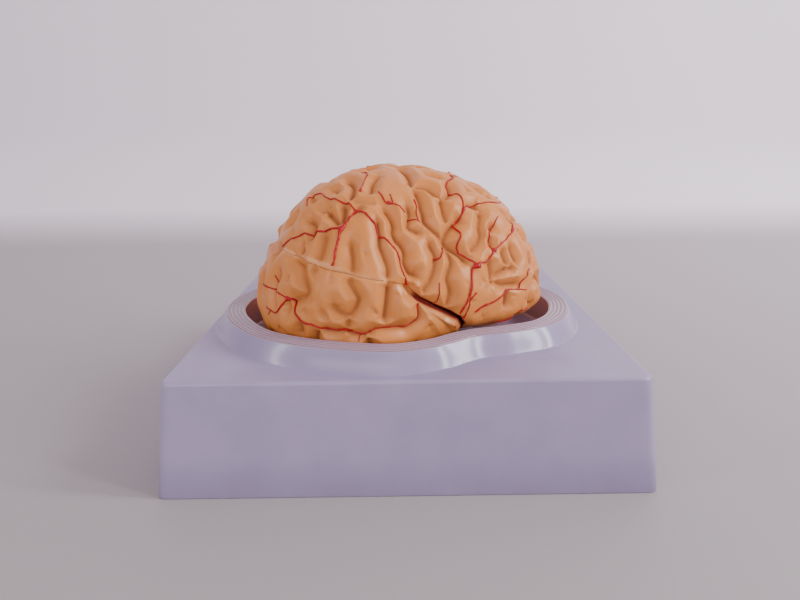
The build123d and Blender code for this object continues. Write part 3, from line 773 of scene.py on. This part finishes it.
def boundary_loop(faces):
    """Longest closed chain of vertices round the open edge of a mesh, in the faces' own direction."""
    edges = np.vstack([faces[:, [0, 1]], faces[:, [1, 2]], faces[:, [2, 0]]])
    there = set(map(tuple, edges.tolist()))
    follow = {a: b for a, b in there if (b, a) not in there}
    longest = []
    while follow:
        start = next(iter(follow))
        loop, at = [start], follow.pop(start)
        while at != start and at in follow:
            loop.append(at)
            at = follow.pop(at)
        longest = max(longest, loop, key=len)
    return longest


def seam_line():
    """Seam in side view as (x, z), from behind the brain down to below it."""
    points = BRAIN_CENTRE + envelope(course_direction(SEAM_FLAT[:1] + SEAM_FISSURE)) * (1, -1, 1)
    (xb, zb), rest = points[0, [0, 2]], points[1:, [0, 2]]
    slope = (rest[0][1] - zb) / (rest[0][0] - xb)
    line = [(SEAM_BACK, rest[0][1] + slope * (SEAM_BACK - rest[0][0]))] + [tuple(place) for place in rest]
    return np.array(line + [(line[-1][0] + SEAM_AHEAD, line[-1][1] - SEAM_DOWN)])


SEAM = seam_line()


# How far forward the fissure starts, where its tone is full and where it is open to its full width
FISSURE_START, FISSURE_TONED, FISSURE_OPEN = SEAM[2][0], SEAM[3][0], SEAM[5][0]


def seam_place(points):
    """Signed distance above the seam in side view, and how far along it the nearest place lies."""
    flat = points[:, [0, 2]]
    best, sign, along = np.full(len(points), 1e9), np.ones(len(points)), np.zeros(len(points))
    passed = 0.0
    for a, b in zip(SEAM, SEAM[1:]):
        run = b - a
        t = np.clip(((flat - a) @ run) / (run @ run), 0, 1)
        distance = np.linalg.norm(flat - a - t[:, None] * run, axis=1)
        nearer = distance < best
        best = np.where(nearer, distance, best)
        side = run[0] * (flat[:, 1] - a[1]) - run[1] * (flat[:, 0] - a[0])
        sign = np.where(nearer, np.sign(side), sign)
        along = np.where(nearer, passed + t * np.linalg.norm(run), along)
        passed += np.linalg.norm(run)
    return best * sign, along


def above_seam(points):
    """Signed distance above the seam in side view."""
    return seam_place(points)[0]


# Cerebrum, four pieces: each half has a fronto-parietal piece that lifts off and a temporo-occipital piece
# that stays on the stand, cast in a warm cream vinyl with a soft gloss. The folds are moulded in, and shade
# is painted into the sulci, onto the slopes down to them and along the edge towards the other half.
SIDE_RINGS = 180
# Half the gap between the halves, and the width of the seam at the back and along the fissure
HALF_GAP, SEAM_GAP, FISSURE_GAP = 0.2, 0.14, 1.8
# Rounded edge towards the other half: its width, the folds' highest rise away from it, how far that falls
# towards it, and the shade painted along it
MIDDLE_EDGE, MIDDLE_RISE, MIDDLE_DROP, MIDDLE_PAINTED_SHADE = 5.0, 4.0, 7.0, 0.7
# Rounded edge along the seam: its depth and width, where the folds' painted shade comes back, and its own
# tone
SEAM_DIP, SEAM_EDGE, SEAM_BAND, SEAM_TONE = 0.6, 1.6, (0.5, 2.0), 0.25
# Distances over which the fissure's tone and the cement with its painted highlight fade out
FISSURE_BAND, FISSURE_TONE, GLUE_AND_GLINT_BAND = (0.8, 2.6), 1.5, (0.5, 1.7)
# The temporal pole hangs a little lower than the envelope, by so much round this place
POLE_PLACE, POLE_DROP, POLE_SPREAD = (33, -11), 2.6, 9.0
# The flat middle face is filled inside its outline only, and points closer than this are taken as one. Points
# of the seam stand at least a step apart there.
INSIDE_ONLY, CLOSENESS, SEAM_STEP, TINY = 1, 0.00001, 0.01, 1e-6
# Seed of each side's waves, and the way it faces
SEEDS = {"right": 4, "left": 9}
SIGNS = {"right": -1, "left": 1}
CEREBELLUM_CENTRE = (-50.0, 39.0)
CEREBELLUM_RADII = (25.0, 43.0, 19.5)
# The roof of the cerebellum is level in the middle and falls off beyond this distance from the middle plane
ROOF_Z, ROOF_FALL, ROOF_LEVEL = 54.0, 0.28, 12.0
# The lobes stay clear of the pocket's floor and of the cerebellum's roof and sides
FLOOR_CLEAR, ROOF_CLEAR, SIDE_CLEAR, CLEAR_REACH = 0.6, 0.6, 1, 1.08
# Cream of the crowns, painted shade on the slopes, darker painted shade in the sulci, and the fissure's red
# paint
BRAIN_CREAM = ((0.605, 0.210, 0.049), (0.50, 0.176, 0.045), (0.34, 0.100, 0.028), (0.20, 0.012, 0.008))
# Pale colour painted on the cement as its highlight
PAINTED_HIGHLIGHT_PALE = (0.80, 0.40, 0.20)
# Where the field of painted shade and fissure paint turns one tone into the next: slopes, sulci and the
# fissure
SLOPE_BAND, SULCUS_BAND, RED_BAND = (0.1, 0.8), (0.72, 1.05), (1.05, 1.4)
# Uneven tone and clouds of the vinyl, in waves per metre, and how much they change the tone and the cement's
# gloss and painted highlight
UNEVEN_SCALE, UNEVEN_RANGE, CLOUD_SCALE, CLOUD_SHARE = 60.0, (0.75, 1.1), 22.0, 0.22
CEMENT_AND_GLINT_RANGE = (0.25, 0.8)
# Roughness on the crowns, in the sulci and of the cement
CROWN_ROUGH, SULCUS_ROUGH, CEMENT_ROUGH = 0.38, 0.75, 0.12
VINYL_SPECULAR, VINYL_SCATTER, SCATTER_COLOUR, SCATTER_DEPTH = 0.32, 0.15, (1.0, 0.5, 0.25), 0.003
VINYL_GRAIN_SCALE, VINYL_GRAIN, VINYL_GRAIN_HEIGHT = 420.0, 0.16, 0.0003


def product(nodes, links, first, second):
    """Two factors of a material multiplied."""
    times = nodes.new("ShaderNodeMath")
    times.operation = "MULTIPLY"
    links.new(first, times.inputs[0])
    links.new(second, times.inputs[1])
    return times.outputs[0]


def brain_plastic(name, crown, middle, deep, fissure):
    """Cream vinyl with painted shade in its sulci and red fissure paint, and a glossy seam bead with a pale
    painted highlight.
    """
    material, nodes, links, shader = new_material(name)
    place = nodes.new("ShaderNodeTexCoord").outputs["Object"]
    groove_shade_and_paint, glue_and_glint = attribute_node(nodes, "groove_shade_and_paint"), attribute_node(nodes, "glue_and_glint")
    uneven = noise_node(nodes, links, UNEVEN_SCALE, 3.0, place)
    cloud = noise_node(nodes, links, CLOUD_SCALE, 2.0, place)
    shade = product(nodes, links, groove_shade_and_paint, map_range(nodes, links, uneven, 0.3, 0.7, *UNEVEN_RANGE))
    # Painted shade: the slopes take the middle tone and the sulci the darkest as the field rises
    low = mix_colours(nodes, links, map_range(nodes, links, shade, *SLOPE_BAND), crown, middle)
    full = mix_colours(nodes, links, map_range(nodes, links, shade, *SULCUS_BAND), low, deep)
    clouded = map_range(nodes, links, cloud, 0.35, 0.7, 0.0, CLOUD_SHARE)
    tone = mix_colours(nodes, links, clouded, full, middle)
    dark = mix_colours(nodes, links, map_range(nodes, links, groove_shade_and_paint, *RED_BAND), tone, fissure)
    # Cement: glossy, with its highlight painted pale
    cement_and_glint = product(nodes, links, glue_and_glint, map_range(nodes, links, cloud, 0.40, 0.62, *CEMENT_AND_GLINT_RANGE))
    links.new(mix_colours(nodes, links, cement_and_glint, dark, PAINTED_HIGHLIGHT_PALE), shader.inputs["Base Color"])
    gloss = nodes.new("ShaderNodeMix")
    links.new(cement_and_glint, gloss.inputs[0])
    links.new(map_range(nodes, links, groove_shade_and_paint, 0.2, 0.9, CROWN_ROUGH, SULCUS_ROUGH), gloss.inputs[2])
    gloss.inputs[3].default_value = CEMENT_ROUGH
    links.new(gloss.outputs[0], shader.inputs["Roughness"])
    shader.inputs["Specular IOR Level"].default_value = VINYL_SPECULAR
    shader.inputs["Subsurface Weight"].default_value = VINYL_SCATTER
    shader.inputs["Subsurface Radius"].default_value = SCATTER_COLOUR
    shader.inputs["Subsurface Scale"].default_value = SCATTER_DEPTH
    grain = noise_node(nodes, links, VINYL_GRAIN_SCALE, 3.0, place)
    add_grain(nodes, links, shader, grain, VINYL_GRAIN, VINYL_GRAIN_HEIGHT)
    return material


def add_field(piece, name, values):
    """Attribute that has one value at each vertex."""
    values = list(values)[:len(piece.data.vertices)]
    piece.data.attributes.new(name, "FLOAT", "POINT").data.foreach_set("value", values)


def side_surface(seed):
    """Folded outer surface of one side, sideways positive, with fields for painted shade and red paint and
    for the seam bead.
    """
    directions, faces = ring_directions(SIDE_RINGS)
    points = envelope(directions)
    height, share = fold_height(points, seed)
    edge = rolled(points[:, 1], MIDDLE_EDGE)
    height = np.minimum(height, MIDDLE_RISE - MIDDLE_DROP * edge)
    from_seam = np.abs(above_seam(points + BRAIN_CENTRE))
    height = height - SEAM_DIP * rolled(from_seam, SEAM_EDGE)
    # Painted shade fades out at the seam and lies along the edge towards the other half
    share = np.maximum(share * smooth_step(from_seam, *SEAM_BAND), MIDDLE_PAINTED_SHADE * edge)
    along_fissure = smooth_step(points[:, 0] + BRAIN_CENTRE[0], FISSURE_START, FISSURE_TONED)
    red = FISSURE_TONE * (1 - smooth_step(from_seam, *FISSURE_BAND)) * along_fissure
    share = np.maximum(share, red)
    # Cement along the seam and below the bend, glossy, with its highlight painted pale
    glue_and_glint = 1 - smooth_step(distances(GLUE_AND_GLINT_TREE, points)[0], *GLUE_AND_GLINT_BAND)
    points = points + envelope_normals(directions) * height[:, None]
    points[:, 1] = np.where(directions[:, 1] < TINY, 0.0, points[:, 1])
    return points, faces, share, glue_and_glint


def over_cerebellum(points):
    """Heights kept clear of the cerebellum's flat roof and of the pocket's floor."""
    side = np.abs(points[:, 1] - MID_Y)
    roof = ROOF_Z + ROOF_CLEAR - ROOF_FALL * np.maximum(side - ROOF_LEVEL, 0)
    reach = np.hypot((points[:, 0] - CEREBELLUM_CENTRE[0]) / (CEREBELLUM_RADII[0] + SIDE_CLEAR),
                     side / (CEREBELLUM_RADII[1] + SIDE_CLEAR))
    lowest = POCKET_FLOOR_Z + FLOOR_CLEAR + (roof - POCKET_FLOOR_Z) * smooth_step(-reach, -CLEAR_REACH, -1.0)
    return np.maximum(points[:, 2], lowest)


def seam_gap(x):
    """Width of the seam: a fine line at the back that opens out along the fissure."""
    return SEAM_GAP + (FISSURE_GAP - SEAM_GAP) * smooth_step(x, FISSURE_START, FISSURE_OPEN)


def middle_face(points, outline, sign):
    """Triangles that fill an outline on the middle plane, facing the other half."""
    flat = [Vector((points[v, 0], points[v, 2])) for v in outline]
    made = delaunay_2d_cdt(flat, [], [list(range(len(flat)))], INSIDE_ONLY, CLOSENESS)
    faces, given = made[2], made[3]
    triangles = [[outline[given[k][0]] for k in face] for face in faces if all(given[k] for k in face)]
    return triangles if sign > 0 else [face[::-1] for face in triangles]


def seam_on_middle(world, loop, count, middle):
    """New points on the middle plane for the loop's first stretch, which runs along the seam, and the vertex
    there for each of its own. They never turn back along the seam, so the middle face has no fold."""
    run = seam_place(world[loop])[1]
    run = run if run[count] > run[-1] else -run
    flat, extra, furthest, latest = {}, [], run[-1], loop[-1]
    for v, place in zip(loop[:count], run):
        if place > run[count] - SEAM_STEP:
            latest = loop[count]
        elif place > furthest + SEAM_STEP and latest != loop[count]:
            furthest, latest = place, len(world) + len(extra)
            extra.append((world[v, 0], middle, world[v, 2]))
        flat[v] = latest
    return extra, flat


def cerebrum_piece(name, side, upper, body, node, material):
    """Folded outside of one piece, its flat middle face and the seam face ruled sideways between them."""
    points, faces, share, glue_and_glint = SIDE_SURFACES[side]
    points = points.copy()
    points[:, 1] = np.maximum(points[:, 1], HALF_GAP)
    if not upper:
        reach = np.linalg.norm(points - envelope(course_direction([POLE_PLACE])), axis=1)
        points[:, 2] -= POLE_DROP * np.exp(-(reach / POLE_SPREAD) ** 2)
    world = BRAIN_CENTRE + points * (1, SIGNS[side], 1)
    faces = faces if SIGNS[side] < 0 else faces[:, ::-1]
    level = above_seam(world) * (1 if upper else -1) - seam_gap(world[:, 0]) / 2
    world, faces, is_cut, (share, glue_and_glint) = clip(world, faces, level, [share, glue_and_glint])
    middle = MID_Y + SIGNS[side] * HALF_GAP
    loop = boundary_loop(faces)
    on_seam = [bool(is_cut[v]) and abs(world[v, 1] - middle) > TINY for v in loop]
    start = next(i for i in range(len(loop)) if on_seam[i] and not on_seam[i - 1])
    loop = loop[start:] + loop[:start]
    extra, flat = seam_on_middle(world, loop, on_seam.count(True), middle)
    caps = []
    for u, v in zip(loop, loop[1:] + loop[:1]):
        if is_cut[u] and is_cut[v]:
            around = [k for k in (v, u, flat.get(u), flat.get(v)) if k is not None]
            caps.append(list(dict.fromkeys(around)))
    caps = [face for face in caps if len(face) > 2]
    world = np.vstack([world] + ([extra] if extra else []))
    if not upper:
        world[:, 2] = over_cerebellum(world)
    caps += middle_face(world, list(dict.fromkeys(flat.get(v, v) for v in loop)), SIGNS[side])
    piece = mesh_object(name, world, faces.tolist() + caps, material)
    for polygon in piece.data.polygons[len(faces):]:
        polygon.use_smooth = False
    inner = [FISSURE_TONE if place[0] > FISSURE_START else SEAM_TONE for place in extra]
    add_field(piece, "groove_shade_and_paint", [*share, *inner])
    add_field(piece, "glue_and_glint", [*glue_and_glint, *[0.0] * len(extra)])
    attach(piece, body)
    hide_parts(node)


SIDE_SURFACES = {side: side_surface(SEEDS[side]) for side in SIGNS}
brain_vinyl = brain_plastic("brain_vinyl", *BRAIN_CREAM)
for side in SIGNS:
    cerebrum_piece(side + "_lower_lobes", side, False, "stand", side + "_temporo_occipital", brain_vinyl)
    cerebrum_piece(side + "_upper_lobes", side, True, side + "_upper", side + "_frontoparietal", brain_vinyl)


# Cerebellum and brainstem: both halves sit in the cavity under the cerebrum, cast in the same vinyl. The
# steel pins that hold the halves and the lobes together are plain turned rod.
FOLIA_TURNS, FOLIA_LEVELS = 120, 150
# Folia from bottom to top, how far they rise and fall on the way round, and their creases' sharpness,
# share of the radius and painted shade
FOLIA_COUNT, FOLIA_WANDER, CREASE_POWER, CREASE_SHARE, CREASE_SHADE = 49.4, 0.25, 6, 0.035, 0.8
STEEL, STEEL_SCALE, STEEL_ROUGHNESS = (0.55, 0.55, 0.57), 700.0, (0.22, 0.38)


def cerebellum_piece(side, material):
    """Half of the cerebellum: a flat-roofed ellipsoid with fine level folia."""
    points, share = [], []
    for j in range(FOLIA_LEVELS + 1):
        up = math.sin(math.pi * (j / FOLIA_LEVELS - 0.5))
        flat = math.sqrt(max(1 - up * up, 0))
        for i in range(FOLIA_TURNS):
            turn = 2 * math.pi * i / FOLIA_TURNS
            wave = up * FOLIA_COUNT / 2 + FOLIA_WANDER * math.cos(turn * 2)
            dip = abs(math.cos(math.pi * wave)) ** CREASE_POWER
            grow = 1 - CREASE_SHARE * dip
            x = CEREBELLUM_CENTRE[0] + CEREBELLUM_RADII[0] * flat * math.cos(turn) * grow
            y = max(CEREBELLUM_RADII[1] * flat * math.sin(turn) * grow, HALF_GAP)
            z = CEREBELLUM_CENTRE[1] + CEREBELLUM_RADII[2] * up * grow
            z = min(z, ROOF_Z - ROOF_FALL * max(y - ROOF_LEVEL, 0))
            points.append((x, MID_Y + SIGNS[side] * y, z))
            # Painted shade in the creases between the folia
            share.append(dip * CREASE_SHADE)
    faces = []
    for low in range(0, FOLIA_LEVELS * FOLIA_TURNS, FOLIA_TURNS):
        for i in range(FOLIA_TURNS):
            a, b = low + i, low + (i + 1) % FOLIA_TURNS
            faces.append((a, b, b + FOLIA_TURNS, a + FOLIA_TURNS))
    faces = faces if SIGNS[side] > 0 else [face[::-1] for face in faces]
    piece = mesh_object(side + "_cerebellum_folia", points, faces, material)
    add_field(piece, "groove_shade_and_paint", share)
    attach(piece, "stand")
    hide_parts(side + "_cerebellum")


def dress(node, material):
    """Gives a CAD node its material."""
    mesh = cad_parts[node].data
    mesh.materials.clear()
    mesh.materials.append(material)


def pin_steel():
    """Drawn steel with fine uneven gloss."""
    material, nodes, links, shader = new_material("pin_steel")
    shader.inputs["Base Color"].default_value = (*STEEL, 1)
    shader.inputs["Metallic"].default_value = 1.0
    place = nodes.new("ShaderNodeTexCoord").outputs["Object"]
    lines = noise_node(nodes, links, STEEL_SCALE, 2.0, place)
    links.new(map_range(nodes, links, lines, 0.3, 0.7, *STEEL_ROUGHNESS), shader.inputs["Roughness"])
    return material


for side in SIGNS:
    cerebellum_piece(side, brain_vinyl)
    dress(side + "_brainstem", brain_plastic(side + "_stem_vinyl", *BRAIN_CREAM))
steel = pin_steel()
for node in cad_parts:
    if node.endswith("_pin"):
        dress(node, steel)


# Arteries: raised branching vessels, moulded with each lobe and painted a deep glossy red. They run over the
# folds, dip at the sulci and swell where they fork. Courses are in the map's degrees, each after its width.
UPPER_ARTERIES = [
    (0.80, [(-21.5, 38.3), (-25.5, 38), (-28.5, 37.7), (-31.5, 37.5), (-36, 36.8), (-40, 37), (-43, 36),
            (-46, 35), (-49.5, 34.5), (-53, 32), (-55, 31)]),
    (1.00, [(-20.5, 38.3), (-21, 34.5), (-21.5, 31.5), (-22, 28), (-22.5, 25), (-23.5, 22.8)]),
    (0.85, [(-20.5, 38), (-18.5, 41), (-17, 43.5), (-15, 46)]),
    (0.65, [(-15, 46), (-18, 49.3), (-19.5, 50.5), (-23.5, 51.5), (-27, 53.5), (-29.5, 54), (-33.5, 56.5),
            (-37, 59), (-45, 57), (-43, 51.5)]),
    (0.75, [(-15, 46), (-11.5, 44), (-9, 42), (-7, 40.5), (-6, 38), (-5.3, 36), (-3, 35), (-0.8, 32.8),
            (2, 30), (3.3, 27.5), (3.8, 24.5), (4.2, 22.5), (5, 20.5), (5.5, 18.5), (6.3, 16.5)]),
    (0.60, [(-18.5, 76), (-13, 71), (-13.5, 65), (-14, 60), (-14.5, 57)]),
    (0.60, [(-6, 56), (-4.3, 53.5), (-2.8, 51), (0, 50.5), (1.8, 50), (4.3, 49), (6.5, 47.5)]),
    (0.50, [(-0.5, 54.5), (0.8, 50.6)]),
    (0.60, [(11, 54), (12, 51), (11.8, 47.5), (12.3, 45), (13, 43)]),
    (0.55, [(7.8, 44.5), (10.5, 44.3), (12.5, 43.5)]),
    (0.70, [(36, 72.5), (36, 69), (31.5, 66), (31, 61), (31, 58), (33.5, 57), (35, 53.5), (35.3, 51.5),
            (34.8, 48)]),
    (0.60, [(34.8, 48), (36.3, 49.5), (38, 51), (41.5, 51), (45.5, 50.3), (52, 50), (57, 50.5),
            (62.5, 52.5)]),
    (0.85, [(34.8, 48), (34, 46.5), (32.5, 44), (30, 42.3), (30.3, 39.5), (31.2, 36), (30, 33.5),
            (29.5, 31.5), (30.5, 29), (32.8, 27), (35, 25), (38, 22)]),
    (0.80, [(38, 22), (39.5, 23), (42, 23), (44, 24.5), (46.5, 27.5)]),
    (0.65, [(46.5, 27.5), (46, 30.5), (45.8, 34), (45.5, 35), (47.5, 36.5), (49, 38.5), (50.3, 40.5),
            (52, 42.5)]),
    (0.65, [(46.5, 27.5), (50, 29.7), (53, 30.8), (55.5, 32.5), (57, 33), (58.5, 35), (60, 39)]),
    (0.50, [(58.5, 35), (62, 36.5)]),
    (0.95, [(38, 22), (36, 21), (35.3, 18), (34.8, 14), (34, 10.5), (33, 7), (31.8, 4), (31, 1.5)]),
    (0.55, [(37, 10.5), (35.3, 8.5), (34.5, 5), (33.7, 2), (33, -0.8)]),
    (0.75, [(37.5, 1.5), (38.5, 2.5), (41, 4), (44.8, 5), (47.5, 6.5), (50.3, 7.7), (51.5, 9)]),
    (0.60, [(51.5, 9), (56.5, 8.5), (61.7, 7)]),
    (0.60, [(58, 8.5), (59.7, 11.5), (62, 13), (62.8, 15.5), (66, 16)]),
    (0.60, [(48, -8), (55, -6), (61, -3), (66, -2), (67.5, -0.5)]),
    (0.60, [(23.5, 31.8), (23.3, 30.5), (22.5, 28.5), (21.5, 27), (20, 26.8)]),
    (0.45, [(20.8, 16.5), (20.3, 9), (19, 6.8)]),
]
LOWER_ARTERIES = [
    (0.70, [(-66, 11), (-58, 10.5), (-55.5, 10.5), (-50, 9.5), (-45.5, 8)]),
    (0.50, [(-57, 17), (-55.5, 12.5), (-55.5, 10.5)]),
    (0.70, [(-45.5, 8), (-48, 5.5), (-49.5, 3), (-51.5, 0.8), (-54, 0), (-56.5, 0.5), (-60, 1)]),
    (0.50, [(-56.5, 0.5), (-57.8, -2)]),
    (0.80, [(-45.5, 8), (-43, 8), (-41, 5), (-39, 2), (-35.5, -0.5), (-32, -1), (-29, -2.3), (-23.5, -3),
            (-18.2, -2.2), (-15, -3.5), (-12, -3.8), (-10, -3.3), (-8, -2), (-5, -1.5), (0, -1.7),
            (3.5, -2.3), (6.5, -2), (9, -1), (11.5, 0.8), (12, 3), (11.5, 6), (12, 8)]),
    (0.50, [(-13, -4), (-13.5, -6.5)]),
    (0.60, [(29.5, -4.5), (30.5, -7), (31, -11)]),
]
# Swellings where vessels fork, as (place, size)
KNOTS = [((-20.7, 38), 1.6), ((-15, 46), 1.4), ((-14.5, 57), 0.9), ((34.8, 48), 0.8),
         ((38, 22), 1.8), ((46.5, 27.5), 1.4), ((20, 26.8), 0.8), ((33, -0.8), 0.8), ((51.5, 9), 0.5),
         ((-45.5, 8), 1.5), ((-18.2, -2.2), 0.8), ((58.3, 34.8), 0.9), ((-55.5, 10.5), 0.6),
         ((-1, 51), 0.9), ((6.3, 16.5), 0.9)]
ARTERY_SEED = 31
ARTERY_REDS, PAINT_SCALE = ((0.31, 0.001, 0.005), (0.41, 0.001, 0.007)), 150.0
PAINT_ROUGHNESS, PAINT_SPECULAR = 0.32, 0.3
TUBE_SIDES = 10
# Radius for a width of 1, at the start and lost along the run, with its unevenness and its least value
ARTERY_SHARE, START_SHARE, RUN_LOSS, UNEVEN, LEAST_RADIUS = 0.62, 1.15, 0.35, 0.2, 0.2
# Vessels stand out of the folds by this share of their width, and don't dip deeper than this into a sulcus
STAND_OUT, DEEPEST_DIP = 0.35, -4.4
# Step in degrees along a vessel, and its hand-drawn wander: step, limit and the fewest points it takes
ARTERY_STEP, WOBBLE_STEP, WOBBLE_LIMIT, WOBBLE_POINTS = 0.35, 0.05, 0.5, 12
# Vessels thicken towards a fork by this share of the knot's size, over this spread in degrees squared
FORK_SHARE, FORK_SPREAD = 0.4, 1.6
# A knot is a short stub: its shape for size 1, how it stands out, its deepest dip, its radius, and the share
# of the radius that its ends have and its middle has on top of them
KNOT_SHAPE = np.array([(-0.9, 0.35), (0, 0), (0.7, -0.6)])
KNOT_OUT, KNOT_DIP, KNOT_RADIUS, KNOT_END, KNOT_BULGE = 0.25, -2.0, 0.8, 0.2, 0.75
SMOOTHING = np.array((1, 2, 3, 2, 1)) / 9


def tube_tree():
    """Geometry nodes that turn a drawn course, with its thickness at each point, into a closed tube."""
    tree = bpy.data.node_groups.new("artery_tube", "GeometryNodeTree")
    tree.interface.new_socket("Geometry", in_out="INPUT", socket_type="NodeSocketGeometry")
    tree.interface.new_socket("Material", in_out="INPUT", socket_type="NodeSocketMaterial")
    count = tree.interface.new_socket("Sides", in_out="INPUT", socket_type="NodeSocketInt")
    count.default_value = TUBE_SIDES
    tree.interface.new_socket("Geometry", in_out="OUTPUT", socket_type="NodeSocketGeometry")
    nodes, links = tree.nodes, tree.links
    start, end = nodes.new("NodeGroupInput"), nodes.new("NodeGroupOutput")
    curve = nodes.new("GeometryNodeMeshToCurve")
    thick = nodes.new("GeometryNodeInputNamedAttribute")
    thick.data_type = "FLOAT"
    thick.inputs["Name"].default_value = "thick"
    radius = nodes.new("GeometryNodeSetCurveRadius")
    circle = nodes.new("GeometryNodeCurvePrimitiveCircle")
    circle.inputs["Radius"].default_value = 1.0
    tube = nodes.new("GeometryNodeCurveToMesh")
    tube.inputs["Fill Caps"].default_value = True
    real = nodes.new("GeometryNodeRealizeInstances")
    paint = nodes.new("GeometryNodeSetMaterial")
    links.new(start.outputs["Geometry"], curve.inputs["Mesh"])
    links.new(curve.outputs["Curve"], radius.inputs["Curve"])
    links.new(thick.outputs["Attribute"], radius.inputs["Radius"])
    links.new(radius.outputs["Curve"], tube.inputs["Curve"])
    links.new(start.outputs["Sides"], circle.inputs["Resolution"])
    links.new(circle.outputs["Curve"], tube.inputs["Profile Curve"])
    links.new(thick.outputs["Attribute"], tube.inputs["Scale"])
    links.new(tube.outputs["Mesh"], real.inputs["Geometry"])
    links.new(real.outputs["Geometry"], paint.inputs["Geometry"])
    links.new(start.outputs["Material"], paint.inputs["Material"])
    links.new(paint.outputs["Geometry"], end.inputs["Geometry"])
    return tree


def artery_line(course, width, seed, rng):
    """Points of a vessel on the folded surface, sideways positive, and its thickness at each."""
    path = smooth_course(course, ARTERY_STEP)
    if len(path) > WOBBLE_POINTS:
        wobble = np.cumsum(rng.normal(0, WOBBLE_STEP, (len(path), 2)), 0)
        wobble -= np.linspace(0, 1, len(path))[:, None] * wobble[-1]
        path = path + np.clip(wobble, -WOBBLE_LIMIT, WOBBLE_LIMIT)
    directions = course_direction(path)
    points = envelope(directions)
    height = np.maximum(fold_height(points, seed)[0], DEEPEST_DIP)
    height = np.convolve(np.pad(height, 2, "edge"), SMOOTHING, "valid")
    points = points + envelope_normals(directions) * (height + width * STAND_OUT)[:, None]
    run = np.linspace(0, 1, len(path))
    uneven = 1 + UNEVEN * np.convolve(rng.normal(size=len(path) + 4), SMOOTHING, "valid")
    thick = ARTERY_SHARE * width * (START_SHARE - RUN_LOSS * run) * uneven
    for place, size in KNOTS:
        thick = thick + FORK_SHARE * size * np.exp(-((path - place) ** 2).sum(1) / FORK_SPREAD)
    return points, np.maximum(thick, LEAST_RADIUS)


def knot_line(place, size, seed):
    """Short stub that stands for the swelling at a fork."""
    path = smooth_course(np.array(place) + size * KNOT_SHAPE, size / 6)
    directions = course_direction(path)
    points = envelope(directions)
    height = np.maximum(fold_height(points, seed)[0], KNOT_DIP).mean()
    points = points + envelope_normals(directions) * (height + KNOT_OUT)
    swell = np.sin(np.linspace(0.05, 0.95, len(path)) * math.pi) ** 1.5
    return points, KNOT_RADIUS * size * (KNOT_END + KNOT_BULGE * swell)


def artery_paint():
    """Deep red gloss paint, brushed on a little unevenly."""
    material, nodes, links, shader = new_material("artery_paint")
    place = nodes.new("ShaderNodeTexCoord").outputs["Object"]
    blotch = noise_node(nodes, links, PAINT_SCALE, 2.0, place)
    colour = mix_colours(nodes, links, map_range(nodes, links, blotch, 0.35, 0.65), *ARTERY_REDS)
    links.new(colour, shader.inputs["Base Color"])
    shader.inputs["Roughness"].default_value = PAINT_ROUGHNESS
    shader.inputs["Specular IOR Level"].default_value = PAINT_SPECULAR
    return material


def artery_piece(name, side, courses, upper, body, tree, paint):
    """All vessels of one cerebrum piece as one mesh."""
    rng = np.random.default_rng(ARTERY_SEED)
    seed = SEEDS[side]
    lines = [artery_line(course, width, seed, rng) for width, course in courses]
    lines += [knot_line(place, size, seed) for place, size in KNOTS
              if (above_seam(BRAIN_CENTRE + envelope(course_direction([place])))[0] > 0) == upper]
    points, edges, thick = [], [], []
    for line, widths in lines:
        world = BRAIN_CENTRE + line * (1, SIGNS[side], 1)
        first = len(points)
        points += (world * MM).tolist()
        thick += (widths * MM).tolist()
        edges += [(first + i, first + i + 1) for i in range(len(world) - 1)]
    mesh = bpy.data.meshes.new(name + "_courses")
    mesh.from_pydata(points, edges, [])
    mesh.attributes.new("thick", "FLOAT", "POINT").data.foreach_set("value", thick)
    drawn = bpy.data.objects.new(name + "_courses", mesh)
    bpy.context.collection.objects.link(drawn)
    modifier = drawn.modifiers.new("tubes", "NODES")
    modifier.node_group = tree
    for item in tree.interface.items_tree:
        if item.name == "Material":
            modifier[item.identifier] = paint
        if item.name == "Sides":
            modifier[item.identifier] = TUBE_SIDES
    bpy.context.view_layer.update()
    made = bpy.data.meshes.new_from_object(drawn.evaluated_get(bpy.context.evaluated_depsgraph_get()))
    bpy.data.objects.remove(drawn)
    made.polygons.foreach_set("use_smooth", [True] * len(made.polygons))
    piece = bpy.data.objects.new(name, made)
    bpy.context.collection.objects.link(piece)
    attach(piece, body)


tubes, red = tube_tree(), artery_paint()
for side in SIGNS:
    artery_piece(side + "_upper_arteries", side, UPPER_ARTERIES, True, side + "_upper", tubes, red)
    artery_piece(side + "_lower_arteries", side, LOWER_ARTERIES, False, "stand", tubes, red)
